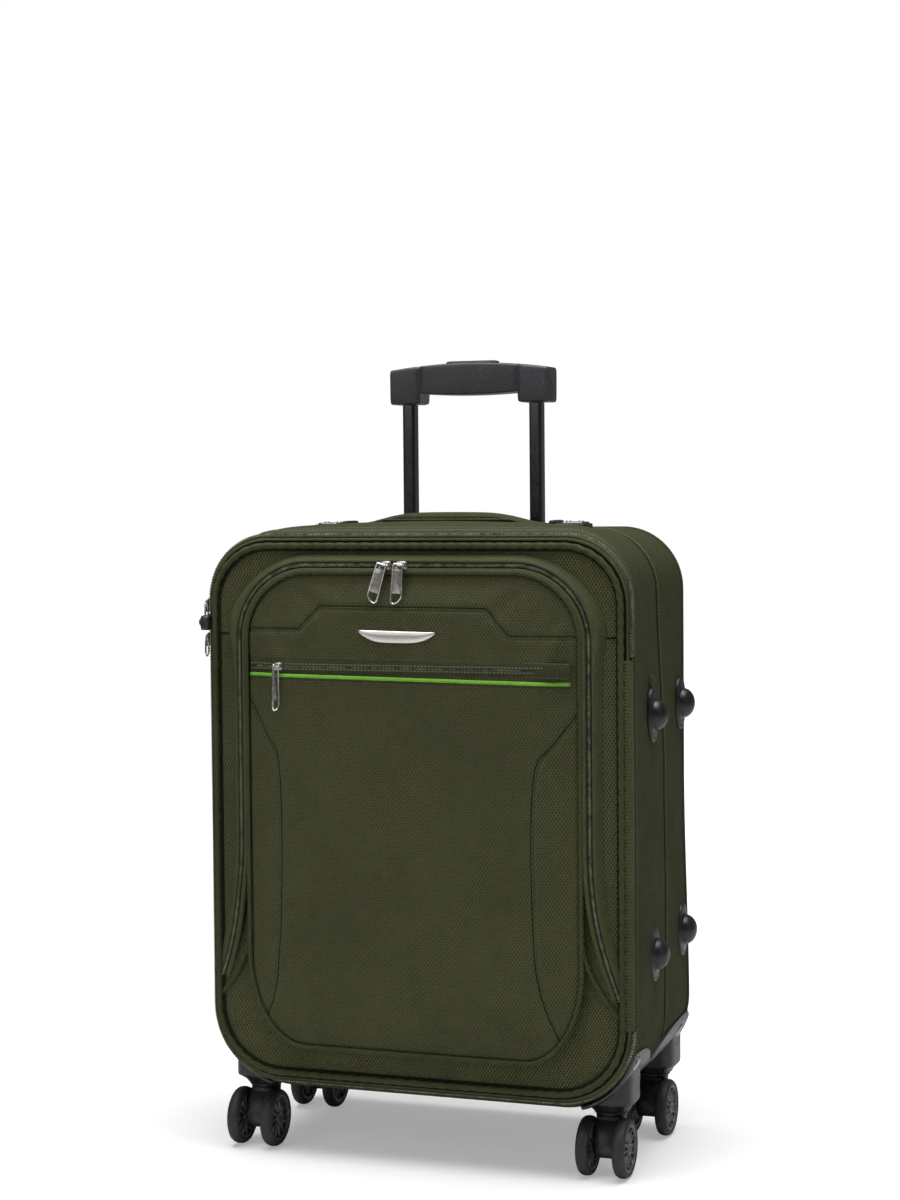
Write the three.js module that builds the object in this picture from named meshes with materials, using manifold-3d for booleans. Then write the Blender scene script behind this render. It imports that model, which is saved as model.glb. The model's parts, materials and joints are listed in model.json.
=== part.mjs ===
// A softside cabin suitcase that stands upright on four twin-wheel swivel casters.
// Millimetres, +Z up, the front pocket faces -Y. The origin is on the floor under the middle of the case.
import * as THREE from 'three';
import * as BufferGeometryUtils from 'three/addons/utils/BufferGeometryUtils.js';
import Module from 'manifold-3d';

const wasm = await Module();
wasm.setup();

// ---- driving dimensions ----
const touchGap = 0.3; // clearance left between faces that touch
const wall = 5; // padded gusset: nylon, foam and lining together

// outline of the case seen from the front
const caseHalfWidth = 188;
const caseBottom = 58;
const caseTop = 545.5;
const caseTopRadius = 55;
const caseBottomRadius = 63;

// main zip and the lid's piping, which sits a little inside it
const zipHalfWidth = 190.5;
const zipBottom = 62.5;
const zipTop = 542.5;
const pipingHalfWidth = 185.6;
const pipingBottom = 71.6;
const pipingTop = 535.4;
const pipingTopRadius = 52;
const pipingBottomRadius = 60;
const pipingThickness = 4.4;

// depth stations, front to back
const lidPipingFront = -97.6;
const lidPanelFront = -93.6;
const lidPanelBack = -89;
const lidLiningBack = -87.2;
const lidZipFront = -93;
const zipPlane = -88.3;
const zipTapeBack = -84.3;
const midSeam = 25;
const midPipingWidth = 5;
const backPanelFront = 108.5;
const backPanelBack = 113;
const cornerPlateBack = 116.3; // the rear corner plates fold round the edge of the back panel

// front pocket
const pocketHalfWidth = 149;
const pocketTop = 509.5;
const pocketBottom = 101;
const pocketFold = 171; // height of the fold where the open flap hangs
const pocketRadius = 56;
const pocketRim = 14; // width of the sloping zip band round the pocket
const pocketBandFront = -103.7;
const pocketPanelBack = -104;
const pocketPanelFront = -110;
const pocketZipHeight = 516.5;

// small zip pocket on the flap
const smallZipHeight = 430;
const smallZipHalfWidth = 141;
const smallZipBandHeight = 11;
const smallZipThickness = 0.9;
const badgeMiddle = -9.5;
const badgeHeight = 457;

// zip sliders and pulls
const sliderThickness = 3;
const pullThickness = 1.5;
const pullLength = 30;
const smallPullLength = 40;
const mainPullLength = 12;
const pocketSliderLeftX = -21;
const pocketSliderRightX = -6.7;
const smallSliderX = -117.6;
const mainSliderUpperZ = 481;
const mainSliderLowerZ = 451;

// telescopic handle
const tubeSpacing = 60.7; // from the middle of the case to each tube
const tubePlane = 67;
const outerTubeSize = [18.5, 20.5];
const middleTubeSize = [15, 17];
const innerTubeSize = [11.5, 13.5];
const tubeWall = 1.2;
const outerTubeBottom = 80;
const outerTubeTop = 504.5;
const middleTubeBottom = 98;
const middleTubeTop = 510.4;
const innerTubeBottom = 247;
const gripHalfWidth = 75.5;
const gripLegWidth = 29;
const gripDepth = 28;
const gripBottom = 658;
const gripCornerTop = 690;
const gripCrown = 695;
const gripUnderside = 666;
const buttonSize = [50, 13];
const buttonTop = 697;
const buttonBottom = 688.5;
const buttonTravelRoom = 4;
const cupFloor = 505;
const cupFloorThickness = 3.5;
const cupMargin = 5.5; // from the grip to the outside of the cup

// carry handles
const carryHandleHalfLength = 92;
const carryHandleWidth = 29;
const carryHandlePlane = 7;
const carryHandleCrest = 560.5;
const sideHandleHalfLength = 82;
const sideHandleHeight = 330;
const sideHandlePlane = -6;

// casters
const swivelX = 160.4;
const frontSwivelY = -50;
const rearSwivelY = 90;
const trail = 16.5; // distance from the swivel axis back to the wheel axle
const wheelRadius = 25;
const wheelWidth = 11;
const wheelSides = 20;
const wheelOffset = 15.9; // from the fork's middle to each wheel's middle
const axleRadius = 3.2;
const forkHalfWidth = 9.8;
const neckRadius = 15;
const neckTop = 53;
const housingBottom = 53.4;
const kingpinRadius = 4;
const kingpinTop = 63;
const cornerPlateThickness = 3;
const cornerPlateTop = 104;
const cornerLip = 9; // how far a rear corner plate folds in over the back panel

// stand-off feet on the right-hand side
const footRadius = 14;
const footPlateHalfHeight = 19;
const footPlateThickness = 3;
const feetPlaces = {
  side_foot_front_upper: [-15, 387],
  side_foot_front_lower: [-13, 181],
  side_foot_rear_upper: [79, 389],
  side_foot_rear_lower: [84, 185],
};

// ---- materials ----
const finish = (color, roughness, metalness = 0) =>
  new THREE.MeshStandardMaterial({ color, roughness, metalness });
const patternedWeave = finish(0x2f3322, 0.85);
const plainNylon = finish(0x2b2e21, 0.8);
const zipFabric = finish(0x23271a, 0.75);
const liningFabric = finish(0x3a3a38, 0.9);
const blackPlastic = finish(0x1b1c1e, 0.55);
const greyPlastic = finish(0x3a3a40, 0.6);
const stiffBoard = finish(0x8a8a84, 0.8);
const blackAluminium = finish(0x101114, 0.25, 0.6);
const silverMetal = finish(0xb4b1ab, 0.35, 0.9);
const springWire = finish(0x8b8d90, 0.4, 0.8);
const tyreRubber = finish(0x1d1e20, 0.7);

const suitcase = new THREE.Group();

function add(name, geometry, material, parent = suitcase) {
  const mesh = new THREE.Mesh(geometry, material);
  mesh.name = name;
  parent.add(mesh);
  return mesh;
}

// ---- solids: joins and cuts ----
function toSolid(geometry) {
  const bare = geometry.clone();
  bare.deleteAttribute('normal');
  bare.deleteAttribute('uv');
  const merged = BufferGeometryUtils.mergeVertices(bare, 1e-4);
  return new wasm.Manifold(new wasm.Mesh({
    numProp: 3,
    vertProperties: new Float32Array(merged.attributes.position.array),
    triVerts: new Uint32Array(merged.index.array),
  }));
}

function fromSolid(solid) {
  const mesh = solid.getMesh();
  const geometry = new THREE.BufferGeometry();
  geometry.setAttribute('position', new THREE.BufferAttribute(new Float32Array(mesh.vertProperties), 3));
  geometry.setIndex(new THREE.BufferAttribute(new Uint32Array(mesh.triVerts), 1));
  geometry.computeVertexNormals();
  return geometry;
}

const join = (...parts) => fromSolid(parts.map(toSolid).reduce((a, b) => a.add(b)));
const cut = (base, ...tools) => fromSolid(tools.map(toSolid).reduce((a, b) => a.subtract(b), toSolid(base)));
const common = (a, b) => fromSolid(toSolid(a).intersect(toSolid(b)));

// ---- outlines and extrusions ----
// A rectangle from (left, bottom) to (right, top) with its own radius at the top and the bottom corners.
function roundedBox(left, right, bottom, top, topRadius, bottomRadius = topRadius) {
  const shape = new THREE.Shape();
  shape.moveTo(left + bottomRadius, bottom);
  shape.lineTo(right - bottomRadius, bottom);
  shape.absarc(right - bottomRadius, bottom + bottomRadius, bottomRadius, -Math.PI / 2, 0);
  shape.lineTo(right, top - topRadius);
  shape.absarc(right - topRadius, top - topRadius, topRadius, 0, Math.PI / 2);
  shape.lineTo(left + topRadius, top);
  shape.absarc(left + topRadius, top - topRadius, topRadius, Math.PI / 2, Math.PI);
  shape.lineTo(left, bottom + bottomRadius);
  shape.absarc(left + bottomRadius, bottom + bottomRadius, bottomRadius, Math.PI, Math.PI * 1.5);
  return shape;
}

const caseOutline = (inset) => roundedBox(
  -caseHalfWidth + inset, caseHalfWidth - inset, caseBottom + inset, caseTop - inset,
  caseTopRadius - inset, caseBottomRadius - inset);

const zipOutline = (inset) => roundedBox(
  -zipHalfWidth + inset, zipHalfWidth - inset, zipBottom + inset, zipTop - inset,
  caseTopRadius + 1 - inset, caseBottomRadius + 1 - inset);

const pipingOutline = (inset) => roundedBox(
  -pipingHalfWidth + inset, pipingHalfWidth - inset, pipingBottom + inset, pipingTop - inset,
  pipingTopRadius - inset, pipingBottomRadius - inset);

function withHole(outer, inner) {
  outer.holes.push(inner);
  return outer;
}

function extrude(shape, depth, curveSegments) {
  return new THREE.ExtrudeGeometry(shape, { depth, curveSegments, bevelEnabled: false });
}

// The shape's own x and y become the part's X and Z; it runs from front to back along Y.
function alongY(shape, front, back, curveSegments = 6) {
  const geometry = extrude(shape, back - front, curveSegments);
  return geometry.rotateX(Math.PI / 2).translate(0, back, 0);
}

// The shape's own x and y become the part's Y and Z; it runs from low to high along X.
function alongX(shape, low, high, curveSegments = 6) {
  const turn = new THREE.Matrix4().makeBasis(
    new THREE.Vector3(0, 1, 0), new THREE.Vector3(0, 0, 1), new THREE.Vector3(1, 0, 0));
  return extrude(shape, high - low, curveSegments).applyMatrix4(turn).translate(low, 0, 0);
}

function alongZ(shape, low, high, curveSegments = 3) {
  return extrude(shape, high - low, curveSegments).translate(0, 0, low);
}

function block(xLow, xHigh, yLow, yHigh, zLow, zHigh) {
  const geometry = new THREE.BoxGeometry(xHigh - xLow, yHigh - yLow, zHigh - zLow);
  return geometry.translate((xLow + xHigh) / 2, (yLow + yHigh) / 2, (zLow + zHigh) / 2);
}

function cylinderZ(radius, low, high, sides = 20) {
  const geometry = new THREE.CylinderGeometry(radius, radius, high - low, sides);
  return geometry.rotateX(Math.PI / 2).translate(0, 0, (low + high) / 2);
}

function cylinderX(radius, low, high, sides = 20) {
  const geometry = new THREE.CylinderGeometry(radius, radius, high - low, sides);
  return geometry.rotateZ(Math.PI / 2).translate((low + high) / 2, 0, 0);
}

// ---- case shell ----
function caseShell() {
  const ring = (inset, thickness) => withHole(caseOutline(inset), caseOutline(inset + thickness));
  const midFront = midSeam - midPipingWidth / 2;
  const midBack = midSeam + midPipingWidth / 2;
  add('front_gusset', alongY(ring(0, wall), zipTapeBack + touchGap, midFront - touchGap), plainNylon);
  add('mid_piping', alongY(ring(-2, wall + 2), midFront, midBack), plainNylon);
  const rearRing = alongY(ring(0, wall), midBack + touchGap, backPanelFront - touchGap);
  add('rear_gusset', cut(rearRing, roomForCup()), plainNylon);
  add('back_panel', alongY(caseOutline(1), backPanelFront, backPanelBack), plainNylon);
  const tape = withHole(zipOutline(0), zipOutline(6));
  add('main_zip_tape', alongY(tape, zipPlane, zipTapeBack), zipFabric);
}

// ---- inner frame: a sprung wire round the front opening, a stiff back board and a moulded floor tray ----
function innerFrame() {
  const wire = 4;
  const inset = wall + touchGap;
  const wireRing = withHole(caseOutline(inset), caseOutline(inset + wire));
  add('frame_wire', alongY(wireRing, -78, -78 + wire), springWire);

  const boardInset = wall + 4;
  add('back_board', alongY(caseOutline(boardInset), backPanelFront - 3.3, backPanelFront - touchGap), stiffBoard);

  const trayInset = wall + touchGap;
  const tray = withHole(caseOutline(trayInset), caseOutline(trayInset + 3));
  const lowerPart = block(-caseHalfWidth, caseHalfWidth, -72, backPanelFront - 3.8, caseBottom, caseBottom + 26);
  add('base_tray', common(alongY(tray, -72, backPanelFront - 3.8), lowerPart), blackPlastic);
}

// ---- telescopic handle ----
function tube(size, sideX, low, high) {
  const [width, depth] = size;
  const outline = (inset) => roundedBox(
    sideX - width / 2 + inset, sideX + width / 2 - inset,
    tubePlane - depth / 2 + inset, tubePlane + depth / 2 - inset, 2.4 - inset);
  return alongZ(withHole(outline(0), outline(tubeWall)), low, high, 2);
}

function telescopicHandle() {
  for (const [side, sign] of [['left', -1], ['right', 1]]) {
    const x = sign * tubeSpacing;
    add(`trolley_tube_${side}`, tube(outerTubeSize, x, outerTubeBottom, outerTubeTop), blackAluminium);
    add(`middle_tube_${side}`, tube(middleTubeSize, x, middleTubeBottom, middleTubeTop), blackAluminium);
    add(`inner_tube_${side}`, tube(innerTubeSize, x, innerTubeBottom, gripBottom - touchGap), blackAluminium);
  }
  add('trolley_foot', trolleyFoot(), blackPlastic);
  add('trolley_bezel', trolleyBezel(), blackPlastic);
  add('handle_grip', handleGrip(), greyPlastic);
  const [length, depth] = buttonSize;
  const button = roundedBox(-length / 2, length / 2, tubePlane - depth / 2, tubePlane + depth / 2, depth / 2 - 0.5);
  add('handle_button', alongZ(button, buttonBottom, buttonTop, 6), blackPlastic);
}

// The bracket that ties both outer tubes to the floor tray.
function trolleyFoot() {
  const bottom = caseBottom + wall + 3 + 2 * touchGap;
  const half = tubeSpacing + 16;
  return block(-half, half, tubePlane - 15, tubePlane + 15, bottom, outerTubeBottom - touchGap);
}

// A cup let into the top of the case: the pulled-down grip rests inside it.
function trolleyBezel() {
  const halfLength = gripHalfWidth + cupMargin;
  const halfDepth = gripDepth / 2 + cupMargin;
  const rim = 4;
  const outline = (inset, r) => roundedBox(
    -halfLength + inset, halfLength - inset, tubePlane - halfDepth + inset, tubePlane + halfDepth - inset, r - inset);
  const wallThickness = 3;
  const cup = alongZ(outline(0, 10), cupFloor, caseTop + 2.5);
  const flange = alongZ(outline(-rim, 10), caseTop + touchGap, caseTop + 2.5);
  const hollow = alongZ(outline(wallThickness, 10), cupFloor + cupFloorThickness, caseTop + 10);
  const holes = [-1, 1].map((sign) => {
    const x = sign * tubeSpacing;
    const halfWidth = middleTubeSize[0] / 2 + 0.4;
    const halfHole = middleTubeSize[1] / 2 + 0.4;
    return block(x - halfWidth, x + halfWidth, tubePlane - halfHole, tubePlane + halfHole, cupFloor - 5, caseTop);
  });
  return cut(join(cup, flange), hollow, ...holes);
}

// A bridge-shaped grip: two legs over the inner tubes and a bowed crossbar with the button let into its top.
function handleGrip() {
  const halfSpan = gripHalfWidth - gripLegWidth;
  const shape = new THREE.Shape();
  const r = 4;
  shape.moveTo(-gripHalfWidth, gripBottom);
  shape.lineTo(-halfSpan, gripBottom);
  shape.lineTo(-halfSpan, gripUnderside + 1);
  shape.quadraticCurveTo(0, gripUnderside - 4, halfSpan, gripUnderside + 1);
  shape.lineTo(halfSpan, gripBottom);
  shape.lineTo(gripHalfWidth, gripBottom);
  shape.lineTo(gripHalfWidth, gripCornerTop - r);
  shape.absarc(gripHalfWidth - r, gripCornerTop - r, r, 0, Math.PI / 2);
  shape.quadraticCurveTo(0, 2 * gripCrown - gripCornerTop, -gripHalfWidth + r, gripCornerTop);
  shape.absarc(-gripHalfWidth + r, gripCornerTop - r, r, Math.PI / 2, Math.PI);
  const front = tubePlane - gripDepth / 2;
  const bar = alongY(shape, front, front + gripDepth, 7);
  const [length, depth] = buttonSize;
  const room = 0.5;
  const seat = roundedBox(
    -length / 2 - room, length / 2 + room, tubePlane - depth / 2 - room, tubePlane + depth / 2 + room, depth / 2);
  return cut(bar, alongZ(seat, buttonBottom - buttonTravelRoom, gripCrown + 5, 6));
}

// The slot that the cup takes up in the top of the case.
function roomForCup() {
  const halfLength = gripHalfWidth + cupMargin + touchGap;
  const halfDepth = gripDepth / 2 + cupMargin + touchGap;
  return block(-halfLength, halfLength, tubePlane - halfDepth, tubePlane + halfDepth, cupFloor - 1, caseTop + 10);
}

// ---- carry handles ----
// A padded bar, flat underneath at its two ends and arched between them, on the XZ plane.
function paddedBar(halfLength, base, crest, gap) {
  const shape = new THREE.Shape();
  const end = 5.5; // thickness at the ends
  shape.moveTo(-halfLength, base);
  shape.lineTo(-halfLength + 16, base);
  shape.quadraticCurveTo(-halfLength + 30, base + gap, -halfLength + 46, base + gap);
  shape.lineTo(halfLength - 46, base + gap);
  shape.quadraticCurveTo(halfLength - 30, base + gap, halfLength - 16, base);
  shape.lineTo(halfLength, base);
  shape.lineTo(halfLength, base + end);
  shape.quadraticCurveTo(halfLength - 30, crest, halfLength - 60, crest);
  shape.lineTo(-halfLength + 60, crest);
  shape.quadraticCurveTo(-halfLength + 30, crest, -halfLength, base + end);
  return shape;
}

function carryHandles() {
  const base = caseTop + touchGap;
  const bar = paddedBar(carryHandleHalfLength, base, carryHandleCrest, 5.5);
  const halfWidth = carryHandleWidth / 2;
  add('carry_handle', alongY(bar, carryHandlePlane - halfWidth, carryHandlePlane + halfWidth, 4), plainNylon);
  for (const [side, sign] of [['left', -1], ['right', 1]]) {
    const inner = sign * (carryHandleHalfLength + 0.8);
    const outer = sign * 127;
    const plate = roundedBox(
      Math.min(inner, outer), Math.max(inner, outer), carryHandlePlane - 15, carryHandlePlane + 15, 5);
    add(`carry_bracket_${side}`, alongZ(plate, base, base + 6.5, 3), blackPlastic);
  }

  const sideBar = paddedBar(sideHandleHalfLength, 0, 13.5, 5.5);
  const strap = alongY(sideBar, -14, 14, 4);
  strap.rotateY(-Math.PI / 2);
  const side = add('side_handle', strap, plainNylon);
  side.position.set(-caseHalfWidth - touchGap, sideHandlePlane, sideHandleHeight);
}

// ---- lid and front pocket ----
// An outline with rounded upper corners and square lower ones, for what ends at the pocket's fold.
const archOutline = (halfWidth, bottom, top, radius) =>
  roundedBox(-halfWidth, halfWidth, bottom, top, radius, 1);

function lid() {
  const rim = withHole(pipingOutline(0), pipingOutline(pipingThickness));
  const panel = alongY(pipingOutline(0), lidPanelFront, lidPanelBack);
  add('lid_panel', join(panel, alongY(rim, lidPipingFront, lidPanelFront + 0.1)), patternedWeave);
  const tape = withHole(zipOutline(0), pipingOutline(-touchGap));
  add('lid_zip_tape', alongY(tape, lidZipFront, zipPlane - touchGap), zipFabric);
  add('lid_lining', alongY(pipingOutline(5), lidPanelBack + touchGap, lidLiningBack), liningFabric);
}

function frontPocket() {
  const bandOuter = archOutline(
    pocketHalfWidth + pocketRim, pocketFold, pocketTop + pocketRim, pocketRadius + pocketRim);
  const bandInner = archOutline(pocketHalfWidth + 1.5, pocketFold - 5, pocketTop + 1.5, pocketRadius + 1.5);
  const bandBack = lidPanelFront - touchGap;
  const band = cut(
    alongY(bandOuter, pocketBandFront, bandBack), alongY(bandInner, pocketBandFront - 1, bandBack + 1));
  add('pocket_zip_band', band, zipFabric);

  const lower = roundedBox(-pocketHalfWidth, pocketHalfWidth, pocketBottom, pocketFold - 1, 1, pocketRadius);
  add('pocket_lower_panel', alongY(lower, pocketPanelFront, bandBack), patternedWeave);

  const flap = archOutline(pocketHalfWidth, pocketFold, pocketTop, pocketRadius);
  add('pocket_flap_panel', alongY(flap, pocketPanelFront, pocketPanelBack), patternedWeave);

  const smallBand = roundedBox(
    -smallZipHalfWidth, smallZipHalfWidth, smallZipHeight - smallZipBandHeight / 2,
    smallZipHeight + smallZipBandHeight / 2, 1);
  const smallBandFront = pocketPanelFront - touchGap - smallZipThickness;
  add('small_zip_tape', alongY(smallBand, smallBandFront, pocketPanelFront - touchGap), zipFabric);

  const badge = add('badge_plate', badgePlate(), silverMetal);
  badge.position.set(badgeMiddle, pocketPanelFront - touchGap, badgeHeight);
}

// A boat-shaped plate, flat along its top edge.
function badgePlate() {
  const half = 33.5;
  const shape = new THREE.Shape();
  shape.moveTo(-half, 5);
  shape.quadraticCurveTo(-half + 4, -5, -half + 16, -5);
  shape.lineTo(half - 16, -5);
  shape.quadraticCurveTo(half - 4, -5, half, 5);
  return alongY(shape, -1.6, 0, 5);
}

// ---- zip sliders and pulls ----
// A slider body with a raised loop; the pull hangs from the loop, a gap in front of the fabric.
function zipSlider(name, parent) {
  const width = 6.6;
  const height = 11;
  const body = roundedBox(-width / 2, width / 2, -height / 2, height / 2, 3, 1.5);
  return add(name, alongY(body, -sliderThickness, 0, 3), silverMetal, parent);
}

// The pull turns about X in the middle of its thickness; above that axis it is too short to reach the slider.
function zipPull(name, length, parent) {
  const half = 2.9;
  const top = 0.5;
  const plate = roundedBox(-half, half, -length, top, 1.5, half - 0.1);
  const eye = roundedBox(-1.5, 1.5, -length + 3, -length + 9, 1.2);
  return add(name, alongY(withHole(plate, eye), -pullThickness, 0, 3), silverMetal, parent);
}

function zipSliders() {
  for (const [side, x] of [['left', pocketSliderLeftX], ['right', pocketSliderRightX]]) {
    const place = new THREE.Group();
    place.position.set(x, pocketPanelBack - touchGap, pocketZipHeight);
    zipSlider(`pocket_slider_${side}`, place);
    const pull = zipPull(`pocket_pull_${side}`, pullLength, place);
    pull.position.y = pocketPanelFront - pocketPanelBack - 2 * touchGap;
    suitcase.add(place);
  }

  const small = new THREE.Group();
  const tapeFront = pocketPanelFront - touchGap - smallZipThickness;
  small.position.set(smallSliderX, tapeFront - touchGap, smallZipHeight);
  zipSlider('small_slider', small);
  const smallPull = zipPull('small_pull', smallPullLength, small);
  smallPull.position.y = -sliderThickness - touchGap;
  suitcase.add(small);

  // the two main sliders sit side by side on the left edge of the case
  for (const [level, z] of [['upper', mainSliderUpperZ], ['lower', mainSliderLowerZ]]) {
    const place = new THREE.Group();
    place.position.set(-zipHalfWidth - touchGap, zipPlane, z);
    place.rotation.z = -Math.PI / 2;
    zipSlider(`main_slider_${level}`, place);
    const pull = zipPull(`main_pull_${level}`, mainPullLength, place);
    pull.position.y = -sliderThickness - touchGap;
    suitcase.add(place);
  }
}

// ---- stand-off feet ----
// A dome on an oval plate that is screwed through the gusset at its two pointed ends.
function sideFoot() {
  const profile = [new THREE.Vector2(0, 0)];
  const steps = 5;
  for (let i = 0; i <= steps; i += 1) {
    const angle = (i / steps) * Math.PI / 2;
    profile.push(new THREE.Vector2(footRadius * Math.cos(angle), 0.5 + (footRadius - 1) * Math.sin(angle)));
  }
  profile[profile.length - 1].x = 0;
  const dome = new THREE.LatheGeometry(profile, 16).rotateZ(-Math.PI / 2);
  const plate = new THREE.Shape();
  const ear = 4.5;
  plate.absarc(0, 0, footRadius + 1.2, -0.9, 0.9);
  plate.absarc(0, footPlateHalfHeight, ear, 0.5, Math.PI - 0.5);
  plate.absarc(0, 0, footRadius + 1.2, Math.PI - 0.9, Math.PI + 0.9);
  plate.absarc(0, -footPlateHalfHeight, ear, Math.PI + 0.5, 2 * Math.PI - 0.5);
  return join(alongX(plate, 0, footPlateThickness, 4), dome);
}

function sideFeet() {
  for (const [name, [y, z]] of Object.entries(feetPlaces)) {
    add(name, sideFoot(), blackPlastic).position.set(caseHalfWidth + touchGap, y, z);
  }
}

// ---- casters ----
// The housing: a column under the corner of the case, and a wing-shaped plate that wraps the rounded corner.
function casterHousing(isRear) {
  const y = isRear ? rearSwivelY : frontSwivelY;
  const columnHalf = 20.7;
  const chamferTop = 62;
  const column = alongZ(
    roundedBox(swivelX - columnHalf, swivelX + columnHalf, y - columnHalf, y + columnHalf, 11), chamferTop, 92);
  const funnel = new THREE.CylinderGeometry(columnHalf, 16.5, chamferTop - housingBottom + 0.2, 20);
  funnel.rotateX(Math.PI / 2).translate(swivelX, y, (housingBottom + chamferTop + 0.2) / 2);

  const tip = isRear ? cornerPlateBack : -24;
  const heel = isRear ? 46 : -80;
  const wing = new THREE.Shape();
  wing.moveTo(heel, caseBottom - cornerPlateThickness - 1);
  wing.quadraticCurveTo(heel + 4, 84, tip - 8, cornerPlateTop);
  wing.lineTo(tip, cornerPlateTop + 1);
  wing.lineTo(tip, caseBottom - cornerPlateThickness - 1);
  const around = withHole(caseOutline(-touchGap - cornerPlateThickness), caseOutline(-touchGap));
  const wrapped = alongY(around, heel, tip);
  const lip = alongY(
    withHole(caseOutline(-touchGap - 1), caseOutline(cornerLip)), backPanelBack + touchGap, cornerPlateBack);
  const plate = common(
    isRear ? join(wrapped, lip) : wrapped, alongX(wing, 128, caseHalfWidth + 6));

  const bore = cylinderZ(kingpinRadius + 0.4, 0, kingpinTop + 0.6, 16).translate(swivelX, y, 0);
  const inside = alongY(caseOutline(-touchGap), y - 60, y + 60);
  return cut(join(column, funnel, plate), inside, bore);
}

// The fork turns about its kingpin; the axle is moulded into its foot and carries a wheel on each side.
function casterFork() {
  const arm = new THREE.Shape();
  arm.moveTo(-neckRadius, neckTop - 6);
  arm.quadraticCurveTo(-trail - 9.5, 36, -trail - 9.5, wheelRadius);
  arm.absarc(-trail, wheelRadius, 9.5, Math.PI, 2 * Math.PI - 0.3);
  arm.quadraticCurveTo(2, 34, neckRadius - 1, neckTop - 6);
  arm.lineTo(neckRadius - 1, neckTop - 1);
  arm.lineTo(-neckRadius + 1, neckTop - 1);
  const neck = cylinderZ(neckRadius, 41, neckTop);
  const wheelRoom = (sign) => {
    const low = sign > 0 ? forkHalfWidth : -forkHalfWidth - 20;
    return cylinderX(wheelRadius + 1.6, low, low + 20).translate(0, -trail, wheelRadius);
  };
  const kingpin = cylinderZ(kingpinRadius, neckTop - 1, kingpinTop, 16);
  const axleEnd = wheelOffset + wheelWidth / 2 - 0.6;
  const axle = cylinderX(axleRadius, -axleEnd, axleEnd, 14).translate(0, -trail, wheelRadius);
  const body = cut(join(alongX(arm, -forkHalfWidth, forkHalfWidth, 5), neck), wheelRoom(1), wheelRoom(-1));
  return join(body, kingpin, axle);
}

// A wheel turned about X: a tyre with rounded shoulders, a dished web and a hub with a clear bore.
function casterWheel(sign) {
  const half = wheelWidth / 2;
  const bore = axleRadius + 0.15;
  const rim = wheelRadius - 5;
  const shoulder = 1.8;
  const dish = 2.6;
  const points = [
    [bore, -half], [wheelRadius - shoulder, -half], [wheelRadius, -half + shoulder],
    [wheelRadius, half - shoulder], [wheelRadius - shoulder, half], [rim, half],
    [rim - 0.8, half - dish], [6.5, half - dish], [5.5, half], [bore, half], [bore, -half],
  ];
  const profile = points.map(([r, x]) => new THREE.Vector2(r, x * sign));
  if (sign < 0) profile.reverse();
  return new THREE.LatheGeometry(profile, wheelSides).rotateZ(-Math.PI / 2);
}

function casters() {
  for (const [end, y] of [['front', frontSwivelY], ['rear', rearSwivelY]]) {
    for (const [side, sign] of [['left', -1], ['right', 1]]) {
      const housing = casterHousing(end === 'rear');
      add(`caster_housing_${end}_${side}`, sign > 0 ? housing : mirroredInX(housing), blackPlastic);
      const caster = new THREE.Group();
      caster.position.set(sign * swivelX, y, 0);
      add(`caster_fork_${end}_${side}`, casterFork(), blackPlastic, caster);
      for (const [face, direction] of [['outer', sign], ['inner', -sign]]) {
        const wheel = add(`wheel_${end}_${side}_${face}`, casterWheel(direction), tyreRubber, caster);
        wheel.position.set(direction * wheelOffset, -trail, wheelRadius);
      }
      suitcase.add(caster);
    }
  }
}

// The mirror image in X, with its triangles turned round so that they still face outwards.
function mirroredInX(geometry) {
  const copy = geometry.clone().scale(-1, 1, 1);
  const index = copy.index.array;
  for (let i = 0; i < index.length; i += 3) {
    [index[i], index[i + 1]] = [index[i + 1], index[i]];
  }
  return copy;
}

caseShell();
innerFrame();
telescopicHandle();
carryHandles();
lid();
frontPocket();
zipSliders();
sideFeet();
casters();

export default suitcase;
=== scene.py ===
import json
from math import asin, cos, pi, radians, sin, sqrt
import bmesh
import bpy
import numpy as np
from mathutils import Matrix, Vector
from mathutils.bvhtree import BVHTree

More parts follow.
